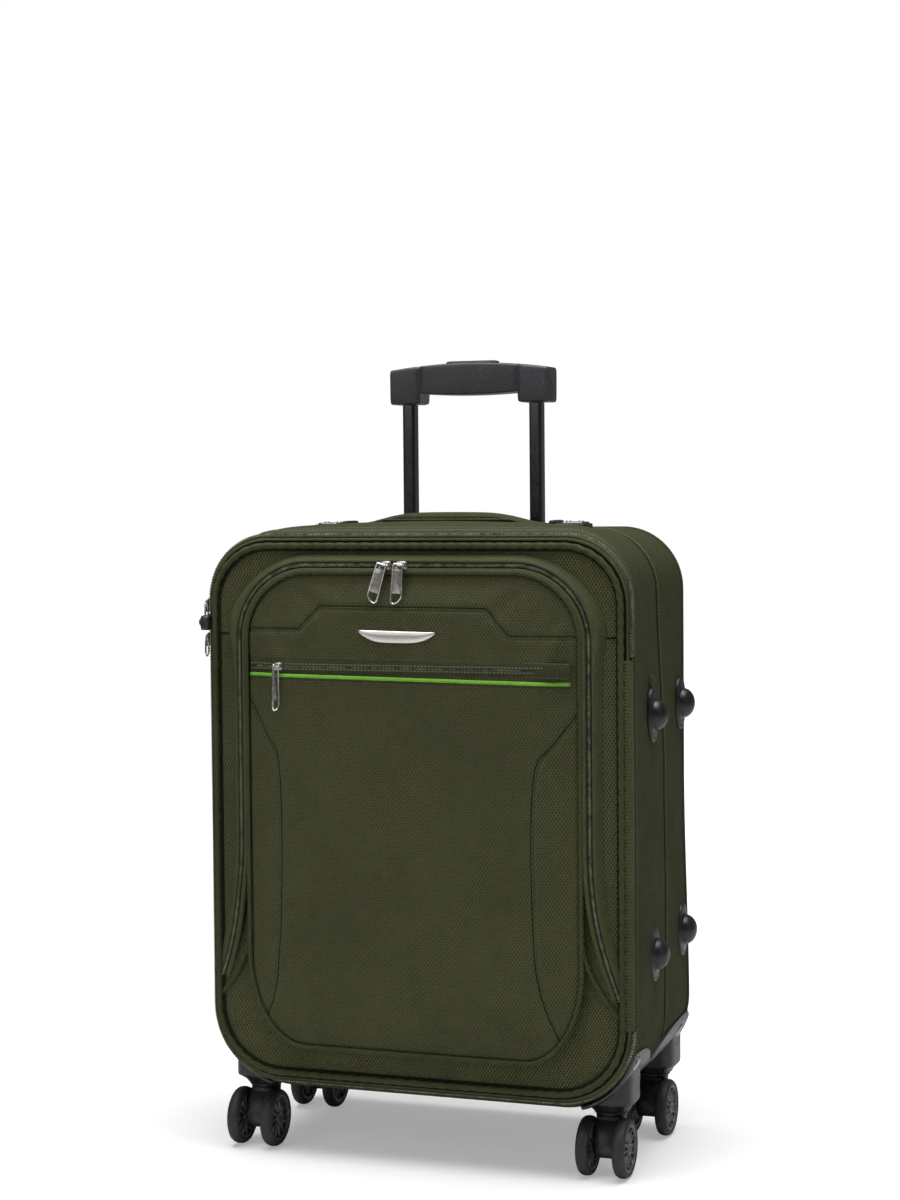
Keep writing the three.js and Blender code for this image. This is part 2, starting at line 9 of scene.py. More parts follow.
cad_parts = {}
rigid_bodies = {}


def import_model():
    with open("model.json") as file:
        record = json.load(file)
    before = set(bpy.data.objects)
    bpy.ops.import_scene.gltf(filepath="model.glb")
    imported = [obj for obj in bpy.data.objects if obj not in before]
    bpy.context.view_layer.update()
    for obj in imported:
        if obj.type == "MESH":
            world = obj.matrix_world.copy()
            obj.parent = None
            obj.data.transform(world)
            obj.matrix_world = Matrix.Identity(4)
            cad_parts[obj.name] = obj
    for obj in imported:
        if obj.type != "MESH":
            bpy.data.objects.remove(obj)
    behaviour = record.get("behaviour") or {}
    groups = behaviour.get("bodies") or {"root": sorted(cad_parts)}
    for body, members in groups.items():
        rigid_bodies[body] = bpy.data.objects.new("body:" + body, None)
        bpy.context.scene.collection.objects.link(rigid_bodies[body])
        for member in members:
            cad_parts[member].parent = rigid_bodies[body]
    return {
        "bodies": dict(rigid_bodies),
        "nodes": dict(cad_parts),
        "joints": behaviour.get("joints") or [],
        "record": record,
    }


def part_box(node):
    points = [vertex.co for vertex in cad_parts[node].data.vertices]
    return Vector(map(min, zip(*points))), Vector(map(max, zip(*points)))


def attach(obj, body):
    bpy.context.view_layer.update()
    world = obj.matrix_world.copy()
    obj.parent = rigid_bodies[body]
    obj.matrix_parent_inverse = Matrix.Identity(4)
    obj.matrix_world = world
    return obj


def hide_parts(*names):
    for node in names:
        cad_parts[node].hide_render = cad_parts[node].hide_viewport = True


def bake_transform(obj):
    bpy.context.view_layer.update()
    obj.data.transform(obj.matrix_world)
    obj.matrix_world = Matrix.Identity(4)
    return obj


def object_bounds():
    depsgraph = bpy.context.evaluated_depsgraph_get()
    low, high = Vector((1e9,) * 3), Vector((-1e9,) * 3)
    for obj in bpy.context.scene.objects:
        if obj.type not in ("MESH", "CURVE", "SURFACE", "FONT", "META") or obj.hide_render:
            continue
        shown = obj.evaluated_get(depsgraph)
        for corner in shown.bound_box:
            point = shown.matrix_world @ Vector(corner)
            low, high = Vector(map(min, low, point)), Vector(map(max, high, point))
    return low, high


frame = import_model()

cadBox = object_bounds()
scene = bpy.context.scene
scene.view_settings.view_transform = "Standard"


def boxOf(node):
    low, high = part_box(node)
    return np.array(low) * 1000, np.array(high) * 1000


def smooth(edge0, edge1, value):
    t = np.clip((value - edge0) / (edge1 - edge0), 0, 1)
    return t * t * (3 - 2 * t)


def around(count):
    # evenly spaced angles of a full turn
    return np.linspace(0, 2 * pi, count, endpoint=False)


def softSquare(angles, across, up):
    # a circle that turns into a square as the two powers fall below 1
    return (np.sign(np.cos(angles)) * np.abs(np.cos(angles)) ** across,
            np.sign(np.sin(angles)) * np.abs(np.sin(angles)) ** up)


def quadratic(a, b, c, t):
    # a point on the curve from a to c that leans towards b
    return (1 - t) ** 2 * a + 2 * t * (1 - t) * b + t * t * c


# the part's finish that each material usually stands for
slotOf = dict(weave="patterned_weave", softWeave="patterned_weave", nylon="plain_nylon",
              nylonStitched="plain_nylon", cord="plain_nylon", tape="zip_fabric", teeth="zip_fabric",
              black="black_plastic", satin="black_plastic", silver="silver_metal", steel="silver_metal",
              badge="silver_metal", lining="lining_fabric", net="lining_fabric", neon="neon_piping",
              grey="grey_plastic")


class Skin:
    # points in mm, faces, and cloth coordinates in metres for each face corner
    def __init__(self):
        self.points = []
        self.faces = []
        self.cloth = []

    def add(self, points, faces, cloth=None):
        base = len(self.points)
        points = np.asarray(points, float)
        self.points.extend(points.tolist())
        for face in faces:
            self.faces.append([base + k for k in face])
            for k in face:
                flat = (points[k][0] / 1000, points[k][2] / 1000)
                self.cloth.append(flat if cloth is None else cloth[k])

    def grid(self, rows, closeRows=False, closeCols=False, flat=False):
        # rows run along u and columns along v; flat takes x and z as the cloth coordinates
        rows = np.asarray(rows, float)
        n, m = rows.shape[:2]
        base = len(self.points)
        self.points.extend(rows.reshape(-1, 3).tolist())
        alongU = np.linalg.norm(np.roll(rows, -1, 0) - rows, axis=2).mean(1)
        alongV = np.linalg.norm(np.roll(rows, -1, 1) - rows, axis=2).mean(0)
        u = np.concatenate([[0], np.cumsum(alongU)]) / 1000
        v = np.concatenate([[0], np.cumsum(alongV)]) / 1000
        for i in range(n if closeRows else n - 1):
            i2 = (i + 1) % n
            for j in range(m if closeCols else m - 1):
                j2 = (j + 1) % m
                self.faces.append((base + i * m + j, base + i2 * m + j, base + i2 * m + j2,
                                   base + i * m + j2))
                if flat:
                    corners = (rows[i, j], rows[i2, j], rows[i2, j2], rows[i, j2])
                    self.cloth.extend((c[0] / 1000, c[2] / 1000) for c in corners)
                else:
                    self.cloth.extend(((u[i], v[j]), (u[i + 1], v[j]), (u[i + 1], v[j + 1]),
                                       (u[i], v[j + 1])))

    def cap(self, loop, axes=(0, 2)):
        loop = np.asarray(loop, float)
        self.add(loop, [list(range(len(loop)))], [(p[axes[0]] / 1000, p[axes[1]] / 1000) for p in loop])

    def rings(self, rings, flat=False):
        # closed rings of points, each joined to the next
        self.grid(np.array(rings).transpose(1, 0, 2), closeRows=True, flat=flat)

    def bar(self, rows):
        # closed sections one after another, with a cap at both ends
        self.grid(rows, closeCols=True)
        self.cap(rows[0][::-1])
        self.cap(rows[-1])

    def hoop(self, path, profile, shift=None):
        # a closed profile carried once round a closed path
        self.grid(ringRows(path, profile, shift=shift), closeRows=True, closeCols=True)

    def slab(self, front, back, flat=False):
        # two sheets of points, and the edge between them
        self.grid(front, flat=flat)
        self.grid(back, flat=flat)
        self.grid(np.stack([border(front), border(back)], 1), closeRows=True)

    def build(self, name, material, body=None, slot=None, replaces=(), subdivide=0, flatShade=False):
        # material is a key of mats
        mesh = bpy.data.meshes.new(name)
        mesh.from_pydata((np.array(self.points) / 1000).tolist(), [], self.faces)
        layer = mesh.uv_layers.new(name="cloth")
        layer.data.foreach_set("uv", np.array(self.cloth, np.float32).ravel())
        work = bmesh.new()
        work.from_mesh(mesh)
        bmesh.ops.remove_doubles(work, verts=work.verts, dist=1e-6)
        bmesh.ops.recalc_face_normals(work, faces=work.faces)
        work.to_mesh(mesh)
        work.free()
        piece = bpy.data.objects.new(name, mesh)
        scene.collection.objects.link(piece)
        piece.data.materials.append(mats[material])
        if not flatShade:
            piece.data.shade_smooth()
        if subdivide:
            soften = piece.modifiers.new("soften", "SUBSURF")
            soften.levels = soften.render_levels = subdivide
        return place(piece, body, slot or slotOf.get(material), replaces)


def place(piece, body, slot, replaces=()):
    # body is a name, or the two bodies and the stretch between them, which are not used: such a piece is
    # only fixed where it stands
    if body is None:
        return piece
    if isinstance(body, dict):
        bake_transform(piece)
    else:
        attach(piece, body)
    if replaces:
        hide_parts(*replaces)
    return piece


def resample(points, step=None, closed=False, count=None):
    # evenly spaced points along a line, by step or by count
    points = np.asarray(points, float)
    if closed:
        points = np.vstack([points, points[:1]])
    gaps = np.linalg.norm(np.diff(points, axis=0), axis=1)
    length = np.concatenate([[0], np.cumsum(gaps)])
    count = count or max(2, int(round(length[-1] / step)))
    at = np.linspace(0, length[-1], count + 1)
    if closed:
        at = at[:-1]
    return np.stack([np.interp(at, length, points[:, k]) for k in range(points.shape[1])], 1)


def resampleTo(points, count):
    return resample(points, closed=True, count=count)


def roundedPath(left, right, bottom, top, topRadius, bottomRadius, step=5.0, bottomRise=None):
    # counter-clockwise in X and Z, starting in the middle of the bottom edge
    rise = bottomRise or bottomRadius
    middle = (left + right) / 2
    corners = [
        (right - bottomRadius, bottom + rise, bottomRadius, rise, -90),
        (right - topRadius, top - topRadius, topRadius, topRadius, 0),
        (left + topRadius, top - topRadius, topRadius, topRadius, 90),
        (left + bottomRadius, bottom + rise, bottomRadius, rise, 180),
    ]
    points = [(middle, bottom)]
    for cx, cz, rx, rz, start in corners:
        for k in range(25):
            angle = radians(start + 90 * k / 24)
            points.append((cx + rx * cos(angle), cz + rz * sin(angle)))
    return resample(points, step, closed=True)


def outward(path, closed=True):
    # unit normals pointing out of a counter-clockwise path
    if closed:
        along = np.roll(path, -1, 0) - np.roll(path, 1, 0)
    else:
        along = np.gradient(path, axis=0)
    along /= np.linalg.norm(along, axis=1)[:, None]
    return np.stack([along[:, 1], -along[:, 0]], 1)


def ringRows(path, profile, closed=True, shift=None):
    # profile is a list of (out, y); shift may push a point further out along its normal
    path = np.asarray(path)
    normals = outward(path, closed)
    profile = np.asarray(profile, float)
    if profile.ndim == 2:
        profile = np.repeat(profile[None], len(path), 0)
    out = profile[:, :, 0]
    y = profile[:, :, 1]
    x = path[:, None, 0] + normals[:, None, 0] * out
    z = path[:, None, 1] + normals[:, None, 1] * out
    if shift is not None:
        extra = shift(path[:, None] + 0 * y[..., None], normals[:, None] + 0 * y[..., None], y)
        x = x + normals[:, None, 0] * extra
        z = z + normals[:, None, 1] * extra
    return np.stack([x, y, z], 2)


def tubeRows(path, radius, sides=10, closed=False, twist=0.0, strands=2, flatten=1.0, up=(0, 1, 0)):
    # rows of a round cord along a path; twist gives the roping of a corded edge, in turns per mm
    path = np.asarray(path, float)
    along = np.roll(path, -1, 0) - np.roll(path, 1, 0) if closed else np.gradient(path, axis=0)
    along /= np.linalg.norm(along, axis=1)[:, None]
    side = np.cross(along, np.array(up, float))
    side /= np.linalg.norm(side, axis=1)[:, None]
    over = np.cross(side, along)
    angle = around(sides)
    s = np.concatenate([[0], np.cumsum(np.linalg.norm(np.diff(path, axis=0), axis=1))])
    r = radius * (1 + (0.17 * np.cos(strands * angle[None] - 2 * pi * twist * s[:, None]) if twist else 0))
    r = r * np.ones((len(path), sides))
    return (path[:, None] + side[:, None] * (r * np.cos(angle))[..., None] + over[:, None]
            * (r * np.sin(angle) * flatten)[..., None])


def border(g):
    # the outline of a grid of points, in order
    return np.concatenate([g[0, :-1], g[:-1, -1], g[-1, :0:-1], g[:0:-1, 0]])


def addTube(skin, path, radius, sides=10, closed=False, **more):
    rows = tubeRows(path, radius, sides, closed, **more)
    if closed:
        skin.grid(rows, closeRows=True, closeCols=True)
    else:
        skin.bar(rows)


def addBlock(skin, centre, size, axes=None, taper=1.0):
    # a small block; taper shrinks the face at its far third axis
    axes = np.eye(3) if axes is None else np.asarray(axes, float)
    half = np.asarray(size, float) / 2
    corners = []
    for k in (-1, 1):
        grow = taper if k > 0 else 1.0
        for i, j in ((-1, -1), (1, -1), (1, 1), (-1, 1)):
            corners.append(np.asarray(centre) + axes[0] * i * half[0] * grow + axes[1] * j * half[1] * grow
                           + axes[2] * k * half[2])
    skin.add(corners, [(0, 3, 2, 1), (4, 5, 6, 7), (0, 1, 5, 4), (1, 2, 6, 5), (2, 3, 7, 6), (3, 0, 4, 7)])


def addPlate(skin, outline, low, high, axis="y", edge=0.6, dome=0.0):
    # an outline extruded along one axis, its two rims rounded over and its high face domed
    outline = np.asarray(outline, float)
    area = np.sum(outline[:, 0] * np.roll(outline[:, 1], -1) - np.roll(outline[:, 0], -1) * outline[:, 1])
    if area < 0:
        outline = outline[::-1]
    normals = outward(outline)
    sign = 1 if high > low else -1
    stations = [(edge, low), (edge * 0.3, low + sign * edge * 0.3), (0, low + sign * edge),
                (0, high - sign * edge), (edge * 0.3, high - sign * edge * 0.3), (edge, high)]
    if dome:
        stations += [(edge + 1.5, high + sign * dome * 0.6), (edge + 3.0, high + sign * dome)]
    rows = [place3(outline - normals * inset, level, axis) for inset, level in stations]
    skin.rings(rows)
    skin.cap(rows[0][::-1])
    skin.cap(rows[-1])


def place3(flat, level, axis):
    flat = np.asarray(flat, float)
    level = np.full(len(flat), float(level))
    if axis == "y":
        return np.stack([flat[:, 0], level, flat[:, 1]], 1)
    if axis == "x":
        return np.stack([level, flat[:, 0], flat[:, 1]], 1)
    return np.stack([flat[:, 0], flat[:, 1], level], 1)


def addLathe(skin, profile, centre, axis="x", sides=32):
    # profile is a list of (radius, along); the ends close on the axis when their radius is 0
    angle = around(sides)
    rows = []
    for radius, along in profile:
        ring = np.stack([np.cos(angle) * max(radius, 0.01), np.sin(angle) * max(radius, 0.01)], 1)
        rows.append(place3(ring, along, axis))
    skin.rings(np.array(rows) + np.asarray(centre, float))


def addStitches(skin, path, pitch=3.4, length=2.3, radius=0.32, up=(0, -1, 0), lift=0.12):
    # separate threads that dip into the cloth at both ends
    points = resample(path, pitch)
    along = np.gradient(points, axis=0)
    along /= np.linalg.norm(along, axis=1)[:, None]
    up = np.asarray(up, float)
    for p, t in zip(points, along):
        line = [p + t * length * k + up * (lift - 0.45 * abs(k) * 2) for k in (-0.5, -0.25, 0.25, 0.5)]
        rows = tubeRows(line, radius, 5, up=up)
        skin.grid(rows, closeCols=True)


def newGroup(name, inputs, outputs):
    tree = bpy.data.node_groups.new(name, "ShaderNodeTree")
    for label, kind, value in inputs:
        socket = tree.interface.new_socket(label, in_out="INPUT", socket_type="NodeSocket" + kind)
        if value is not None:
            socket.default_value = value
    for label, kind in outputs:
        tree.interface.new_socket(label, in_out="OUTPUT", socket_type="NodeSocket" + kind)
    return tree, tree.nodes.new("NodeGroupInput").outputs, tree.nodes.new("NodeGroupOutput").inputs


def wire(tree, value, socket):
    if isinstance(value, bpy.types.NodeSocket):
        tree.links.new(value, socket)
    elif value is not None:
        socket.default_value = value


def calc(tree, operation, a, b=None):
    node = tree.nodes.new("ShaderNodeMath")
    node.operation = operation
    for value, socket in zip((a, b), node.inputs):
        wire(tree, value, socket)
    return node.outputs[0]


def times(tree, a, b):
    return calc(tree, "MULTIPLY", a, b)


def plus(tree, a, b):
    return calc(tree, "ADD", a, b)


def minus(tree, a, b):
    return calc(tree, "SUBTRACT", a, b)


def ramp(tree, value, low, high, toLow=0.0, toHigh=1.0):
    node = tree.nodes.new("ShaderNodeMapRange")
    node.interpolation_type = "SMOOTHSTEP"
    for k, item in enumerate((value, low, high, toLow, toHigh)):
        wire(tree, item, node.inputs[k])
    return node.outputs[0]


def mixColour(tree, factor, a, b, blend="MIX"):
    node = tree.nodes.new("ShaderNodeMix")
    node.data_type = "RGBA"
    node.blend_type = blend
    wire(tree, factor, node.inputs[0])
    wire(tree, a, node.inputs[6])
    wire(tree, b, node.inputs[7])
    return node.outputs[2]


def noise(tree, vector, scale, detail=3.0, rough=0.6):
    node = tree.nodes.new("ShaderNodeTexNoise")
    wire(tree, vector, node.inputs["Vector"])
    wire(tree, scale, node.inputs["Scale"])
    node.inputs["Detail"].default_value = detail
    node.inputs["Roughness"].default_value = rough
    return node.outputs["Fac"]


def stretched(tree, vector, scale):
    node = tree.nodes.new("ShaderNodeMapping")
    wire(tree, vector, node.inputs["Vector"])
    node.inputs["Scale"].default_value = scale
    return node.outputs[0]


def splitXY(tree, vector):
    node = tree.nodes.new("ShaderNodeSeparateXYZ")
    tree.links.new(vector, node.inputs[0])
    return node.outputs[0], node.outputs[1]


def srgb(red, green, blue):
    return [((c / 255 + 0.055) / 1.055) ** 2.4 if c > 10 else c / 255 / 12.92
            for c in (red, green, blue)] + [1]


def weaveGroup():
    # a staggered honeycomb weave: dark pits between crossing ridges of yarn, with painted highlight on the
    # ridges and painted shade in the pits
    tree, given, result = newGroup("honeycomb weave", [
        ("Cloth", "Vector", None), ("Across mm", "Float", 2.9), ("Row mm", "Float", 2.3),
        ("Ground", "Color", (0.05, 0.05, 0.03, 1)), ("Pit", "Color", (0.02, 0.02, 0.01, 1)),
        ("Ridge", "Color", (0.08, 0.08, 0.05, 1))], [("Color", "Color"), ("Height", "Float")])
    drift = tree.nodes.new("ShaderNodeVectorMath")
    drift.operation = "MULTIPLY_ADD"
    wobble = tree.nodes.new("ShaderNodeTexNoise")
    tree.links.new(given["Cloth"], wobble.inputs["Vector"])
    wobble.inputs["Scale"].default_value = 220
    tree.links.new(wobble.outputs["Color"], drift.inputs[0])
    drift.inputs[1].default_value = (0.0007, 0.0007, 0)
    tree.links.new(given["Cloth"], drift.inputs[2])
    x, z = splitXY(tree, drift.outputs[0])
    u = calc(tree, "DIVIDE", times(tree, x, 1000 * 2 * pi), given["Across mm"])
    w = calc(tree, "DIVIDE", times(tree, z, 1000 * pi), given["Row mm"])
    cosA = calc(tree, "COSINE", plus(tree, u, w))
    cosB = calc(tree, "COSINE", minus(tree, u, w))
    slanted = plus(tree, times(tree, cosA, 0.7), times(tree, cosB, 1.3))
    pit = ramp(tree, slanted, 0.35, 1.9)
    ridge = ramp(tree, calc(tree, "MINIMUM", cosA, cosB), 0.2, -0.95)
    yarn = noise(tree, stretched(tree, given["Cloth"], (2600, 900, 1)), 1.0, 2.0)
    yarnTone = ramp(tree, yarn, 0.3, 0.75)
    # painted highlight: the high ridges take the lighter ridge colour; the next line darkens the pits as
    # painted shade
    colour = mixColour(tree, times(tree, ridge, yarnTone), given["Ground"], given["Ridge"])
    wire(tree, mixColour(tree, times(tree, pit, 0.9), colour, given["Pit"]), result["Color"])
    height = minus(tree, times(tree, ridge, 0.6), pit)
    wire(tree, plus(tree, height, times(tree, yarn, 0.35)), result["Height"])
    return tree


def threadGroup():
    # plain one-over-one threads with slubs
    tree, given, result = newGroup("plain threads", [
        ("Cloth", "Vector", None), ("Pitch mm", "Float", 0.8)], [("Tone", "Float"), ("Height", "Float")])
    x, z = splitXY(tree, given["Cloth"])
    u = calc(tree, "DIVIDE", times(tree, x, 1000 * 2 * pi), given["Pitch mm"])
    w = calc(tree, "DIVIDE", times(tree, z, 1000 * 2 * pi), given["Pitch mm"])
    over = times(tree, calc(tree, "SINE", u), calc(tree, "SINE", w))
    slub = noise(tree, stretched(tree, given["Cloth"], (1500, 90, 1)), 1.0, 2.0)
    slubAcross = noise(tree, stretched(tree, given["Cloth"], (90, 1500, 1)), 1.0, 2.0)
    both = plus(tree, slub, slubAcross)
    wire(tree, ramp(tree, plus(tree, both, times(tree, over, 0.16)), 0.7, 1.35), result["Tone"])
    wire(tree, plus(tree, times(tree, over, 0.5), both), result["Height"])
    return tree


def toneGroup():
    # slow change of shade over a whole panel, with a little lint
    tree, given, result = newGroup("cloth tone", [
        ("Place", "Vector", None), ("Lint", "Float", 0.5)], [("Shade", "Float"), ("Lint", "Float")])
    slow = noise(tree, given["Place"], 9.0, 3.0)
    fine = noise(tree, given["Place"], 70.0, 4.0, 0.7)
    wire(tree, ramp(tree, plus(tree, slow, times(tree, fine, 0.5)), 0.45, 1.05), result["Shade"])
    specks = ramp(tree, noise(tree, given["Place"], 900.0, 2.0), 0.68, 0.8)
    wire(tree, times(tree, specks, given["Lint"]), result["Lint"])
    return tree


def stitchGroup():
    # a run of thread at one distance across a strip of cloth, and the dip of the cloth towards it, which
    # also carries painted shade
    tree, given, result = newGroup("stitch line", [
        ("Cloth", "Vector", None), ("Across mm", "Float", 3.0), ("Pitch mm", "Float", 3.2),
        ("Thread mm", "Float", 0.55)], [("Thread", "Float"), ("DipAndShade", "Float")])
    x, z = splitXY(tree, given["Cloth"])
    away = calc(tree, "ABSOLUTE", minus(tree, times(tree, z, 1000), given["Across mm"]))
    onLine = calc(tree, "LESS_THAN", away, given["Thread mm"])
    step = calc(tree, "FRACT", calc(tree, "DIVIDE", times(tree, x, 1000), given["Pitch mm"]))
    dash = calc(tree, "LESS_THAN", step, 0.68)
    wire(tree, times(tree, onLine, dash), result["Thread"])
    wire(tree, ramp(tree, away, 1.5, 0.0), result["DipAndShade"])
    return tree


def grainGroup():
    # fine leather-like grain of moulded plastic, with scuffs
    tree, given, result = newGroup("moulded grain", [
        ("Place", "Vector", None), ("Scale", "Float", 900.0)], [("Height", "Float"), ("Scuff", "Float")])
    cells = tree.nodes.new("ShaderNodeTexVoronoi")
    tree.links.new(given["Place"], cells.inputs["Vector"])
    tree.links.new(given["Scale"], cells.inputs["Scale"])
    grain = noise(tree, given["Place"], given["Scale"], 3.0)
    wire(tree, plus(tree, times(tree, cells.outputs["Distance"], 0.6), grain), result["Height"])
    broad = noise(tree, given["Place"], 28.0, 4.0, 0.7)
    scratch = noise(tree, stretched(tree, given["Place"], (500, 60, 220)), 1.0, 2.0)
    wire(tree, ramp(tree, times(tree, broad, scratch), 0.24, 0.42), result["Scuff"])
    return tree


def wearGroup():
    # rubbed edges where the surface turns sharply; on the zip teeth this lighter edge colour is painted
    # highlight as well as wear
    tree, given, result = newGroup("edge wear", [
        ("Pointiness", "Float", 0.5), ("Place", "Vector", None), ("Amount", "Float", 0.5)],
        [("WornAndHighlight", "Float")])
    edge = ramp(tree, given["Pointiness"], 0.52, 0.6)
    broken = ramp(tree, noise(tree, given["Place"], 160.0, 4.0, 0.7), 0.35, 0.65)
    wornAndHighlight = times(tree, times(tree, edge, broken), given["Amount"])
    wire(tree, wornAndHighlight, result["WornAndHighlight"])
    return tree


groups = dict(weave=weaveGroup(), threads=threadGroup(), tone=toneGroup(), stitch=stitchGroup(),
              grain=grainGroup(), wear=wearGroup())


def useGroup(tree, key, **inputs):
    node = tree.nodes.new("ShaderNodeGroup")
    node.node_tree = groups[key]
    for label, value in inputs.items():
        wire(tree, value, node.inputs[label.replace("_", " ")])
    return node.outputs


def startMaterial(name):
    material = bpy.data.materials.new(name)
    material.use_nodes = True
    tree = material.node_tree
    shader = tree.nodes["Principled BSDF"]
    cloth = tree.nodes.new("ShaderNodeUVMap")
    cloth.uv_map = "cloth"
    where = tree.nodes.new("ShaderNodeTexCoord").outputs["Object"]
    return material, tree, shader, cloth.outputs[0], where


def bumped(tree, shader, height, strength, distance):
    bump = tree.nodes.new("ShaderNodeBump")
    bump.inputs["Strength"].default_value = strength
    bump.inputs["Distance"].default_value = distance
    tree.links.new(height, bump.inputs["Height"])
    tree.links.new(bump.outputs[0], shader.inputs["Normal"])


def fabric(name, dark, light, pit=None, pitch=0.8, across=2.9, row=2.3, rough=0.85, depth=0.0005, bump=0.6,
           stitchAt=(), thread=(112, 114, 88)):
    # dark and light are the two shades of the yarn, and in the honeycomb weave light is also the painted
    # highlight on the ridges; pit, the painted shade in the weave's pits, switches on the honeycomb weave
    material, tree, shader, cloth, where = startMaterial(name)
    tone = useGroup(tree, "tone", Place=where, Lint=0.25)
    threads = useGroup(tree, "threads", Cloth=cloth, Pitch_mm=pitch)
    if pit:
        weave = useGroup(tree, "weave", Cloth=cloth, Across_mm=across, Row_mm=row, Ground=srgb(*dark),
                         Pit=srgb(*pit), Ridge=srgb(*light))
        colour = mixColour(tree, times(tree, threads["Tone"], 0.25), weave["Color"], srgb(*light))
        height = plus(tree, weave["Height"], times(tree, threads["Height"], 0.15))
    else:
        colour = mixColour(tree, threads["Tone"], srgb(*dark), srgb(*light))
        height = times(tree, threads["Height"], 0.5)
    colour = mixColour(tree, times(tree, tone["Shade"], 0.35), colour, srgb(*[c * 0.8 for c in dark]))
    colour = mixColour(tree, tone["Lint"], colour, srgb(118, 120, 104))
    for line in stitchAt:
        run = useGroup(tree, "stitch", Cloth=cloth, Across_mm=float(line))
        # painted shade: the cloth is darkened in the dip along each stitch line
        colour = mixColour(tree, times(tree, run["DipAndShade"], 0.55), colour, srgb(*[c * 0.5 for c in dark]))
        colour = mixColour(tree, run["Thread"], colour, srgb(*thread))
        height = minus(tree, height, times(tree, run["DipAndShade"], 1.2))
        height = plus(tree, height, run["Thread"])
    wire(tree, colour, shader.inputs["Base Color"])
    wire(tree, ramp(tree, tone["Shade"], 0.0, 1.0, rough - 0.06, rough + 0.06), shader.inputs["Roughness"])
    shader.inputs["Specular IOR Level"].default_value = 0.1
    bumped(tree, shader, height, bump, depth)
    return material


def plastic(name, colour, wornAndHighlight, rough=0.45, scale=900.0, depth=0.00012, wear=0.5, coat=0.0):
    material, tree, shader, _, where = startMaterial(name)
    grain = useGroup(tree, "grain", Place=where, Scale=scale)
    point = tree.nodes.new("ShaderNodeNewGeometry").outputs["Pointiness"]
    edge = useGroup(tree, "wear", Pointiness=point, Place=where, Amount=wear)
    tone = useGroup(tree, "tone", Place=where, Lint=0.12)
    base = mixColour(tree, tone["Shade"], srgb(*colour), srgb(*[c * 0.78 for c in colour]))
    base = mixColour(tree, times(tree, grain["Scuff"], 0.35), base, srgb(*wornAndHighlight))
    base = mixColour(tree, edge["WornAndHighlight"], base, srgb(*wornAndHighlight))
    base = mixColour(tree, tone["Lint"], base, srgb(130, 130, 126))
    wire(tree, base, shader.inputs["Base Color"])
    spread = plus(tree, times(tree, grain["Scuff"], 0.18), rough - 0.05)
    wire(tree, spread, shader.inputs["Roughness"])
    shader.inputs["Coat Weight"].default_value = coat
    shader.inputs["Coat Roughness"].default_value = 0.12
    bumped(tree, shader, grain["Height"], 0.5, depth)
    return material


def metal(name, colour, dull, rough=0.28, metallic=1.0, streak=(2400, 90, 90)):
    material, tree, shader, _, where = startMaterial(name)
    point = tree.nodes.new("ShaderNodeNewGeometry").outputs["Pointiness"]
    edge = useGroup(tree, "wear", Pointiness=point, Place=where, Amount=0.6)
    brushed = noise(tree, stretched(tree, where, streak), 1.0, 3.0)
    spots = ramp(tree, noise(tree, where, 240.0, 4.0, 0.7), 0.5, 0.75)
    base = mixColour(tree, times(tree, brushed, 0.5), srgb(*colour), srgb(*dull))
    base = mixColour(tree, times(tree, spots, 0.18), base, srgb(*dull))
    base = mixColour(tree, edge["WornAndHighlight"], base, srgb(*[min(255, c * 1.15) for c in colour]))
    wire(tree, base, shader.inputs["Base Color"])
    wire(tree, ramp(tree, plus(tree, brushed, spots), 0.2, 1.4, rough - 0.08, rough + 0.16),
         shader.inputs["Roughness"])
    shader.inputs["Metallic"].default_value = metallic
    bumped(tree, shader, brushed, 0.25, 0.00005)
    return material


def netting(name, colour):
    # an open knitted mesh: the alpha falls to nothing in each diamond hole
    material, tree, shader, cloth, where = startMaterial(name)
    x, z = splitXY(tree, cloth)
    u = times(tree, x, 1000 * 2 * pi / 3.0)
    w = times(tree, z, 1000 * 2 * pi / 3.6)
    open1 = calc(tree, "COSINE", plus(tree, u, w))
    open2 = calc(tree, "COSINE", minus(tree, u, w))
    hole = calc(tree, "GREATER_THAN", plus(tree, open1, open2), 0.15)
    wire(tree, minus(tree, 1.0, hole), shader.inputs["Alpha"])
    tone = useGroup(tree, "tone", Place=where, Lint=0.2)
    wire(tree, mixColour(tree, tone["Shade"], srgb(*colour), srgb(*[c * 0.6 for c in colour])),
         shader.inputs["Base Color"])
    shader.inputs["Roughness"].default_value = 0.7
    return material
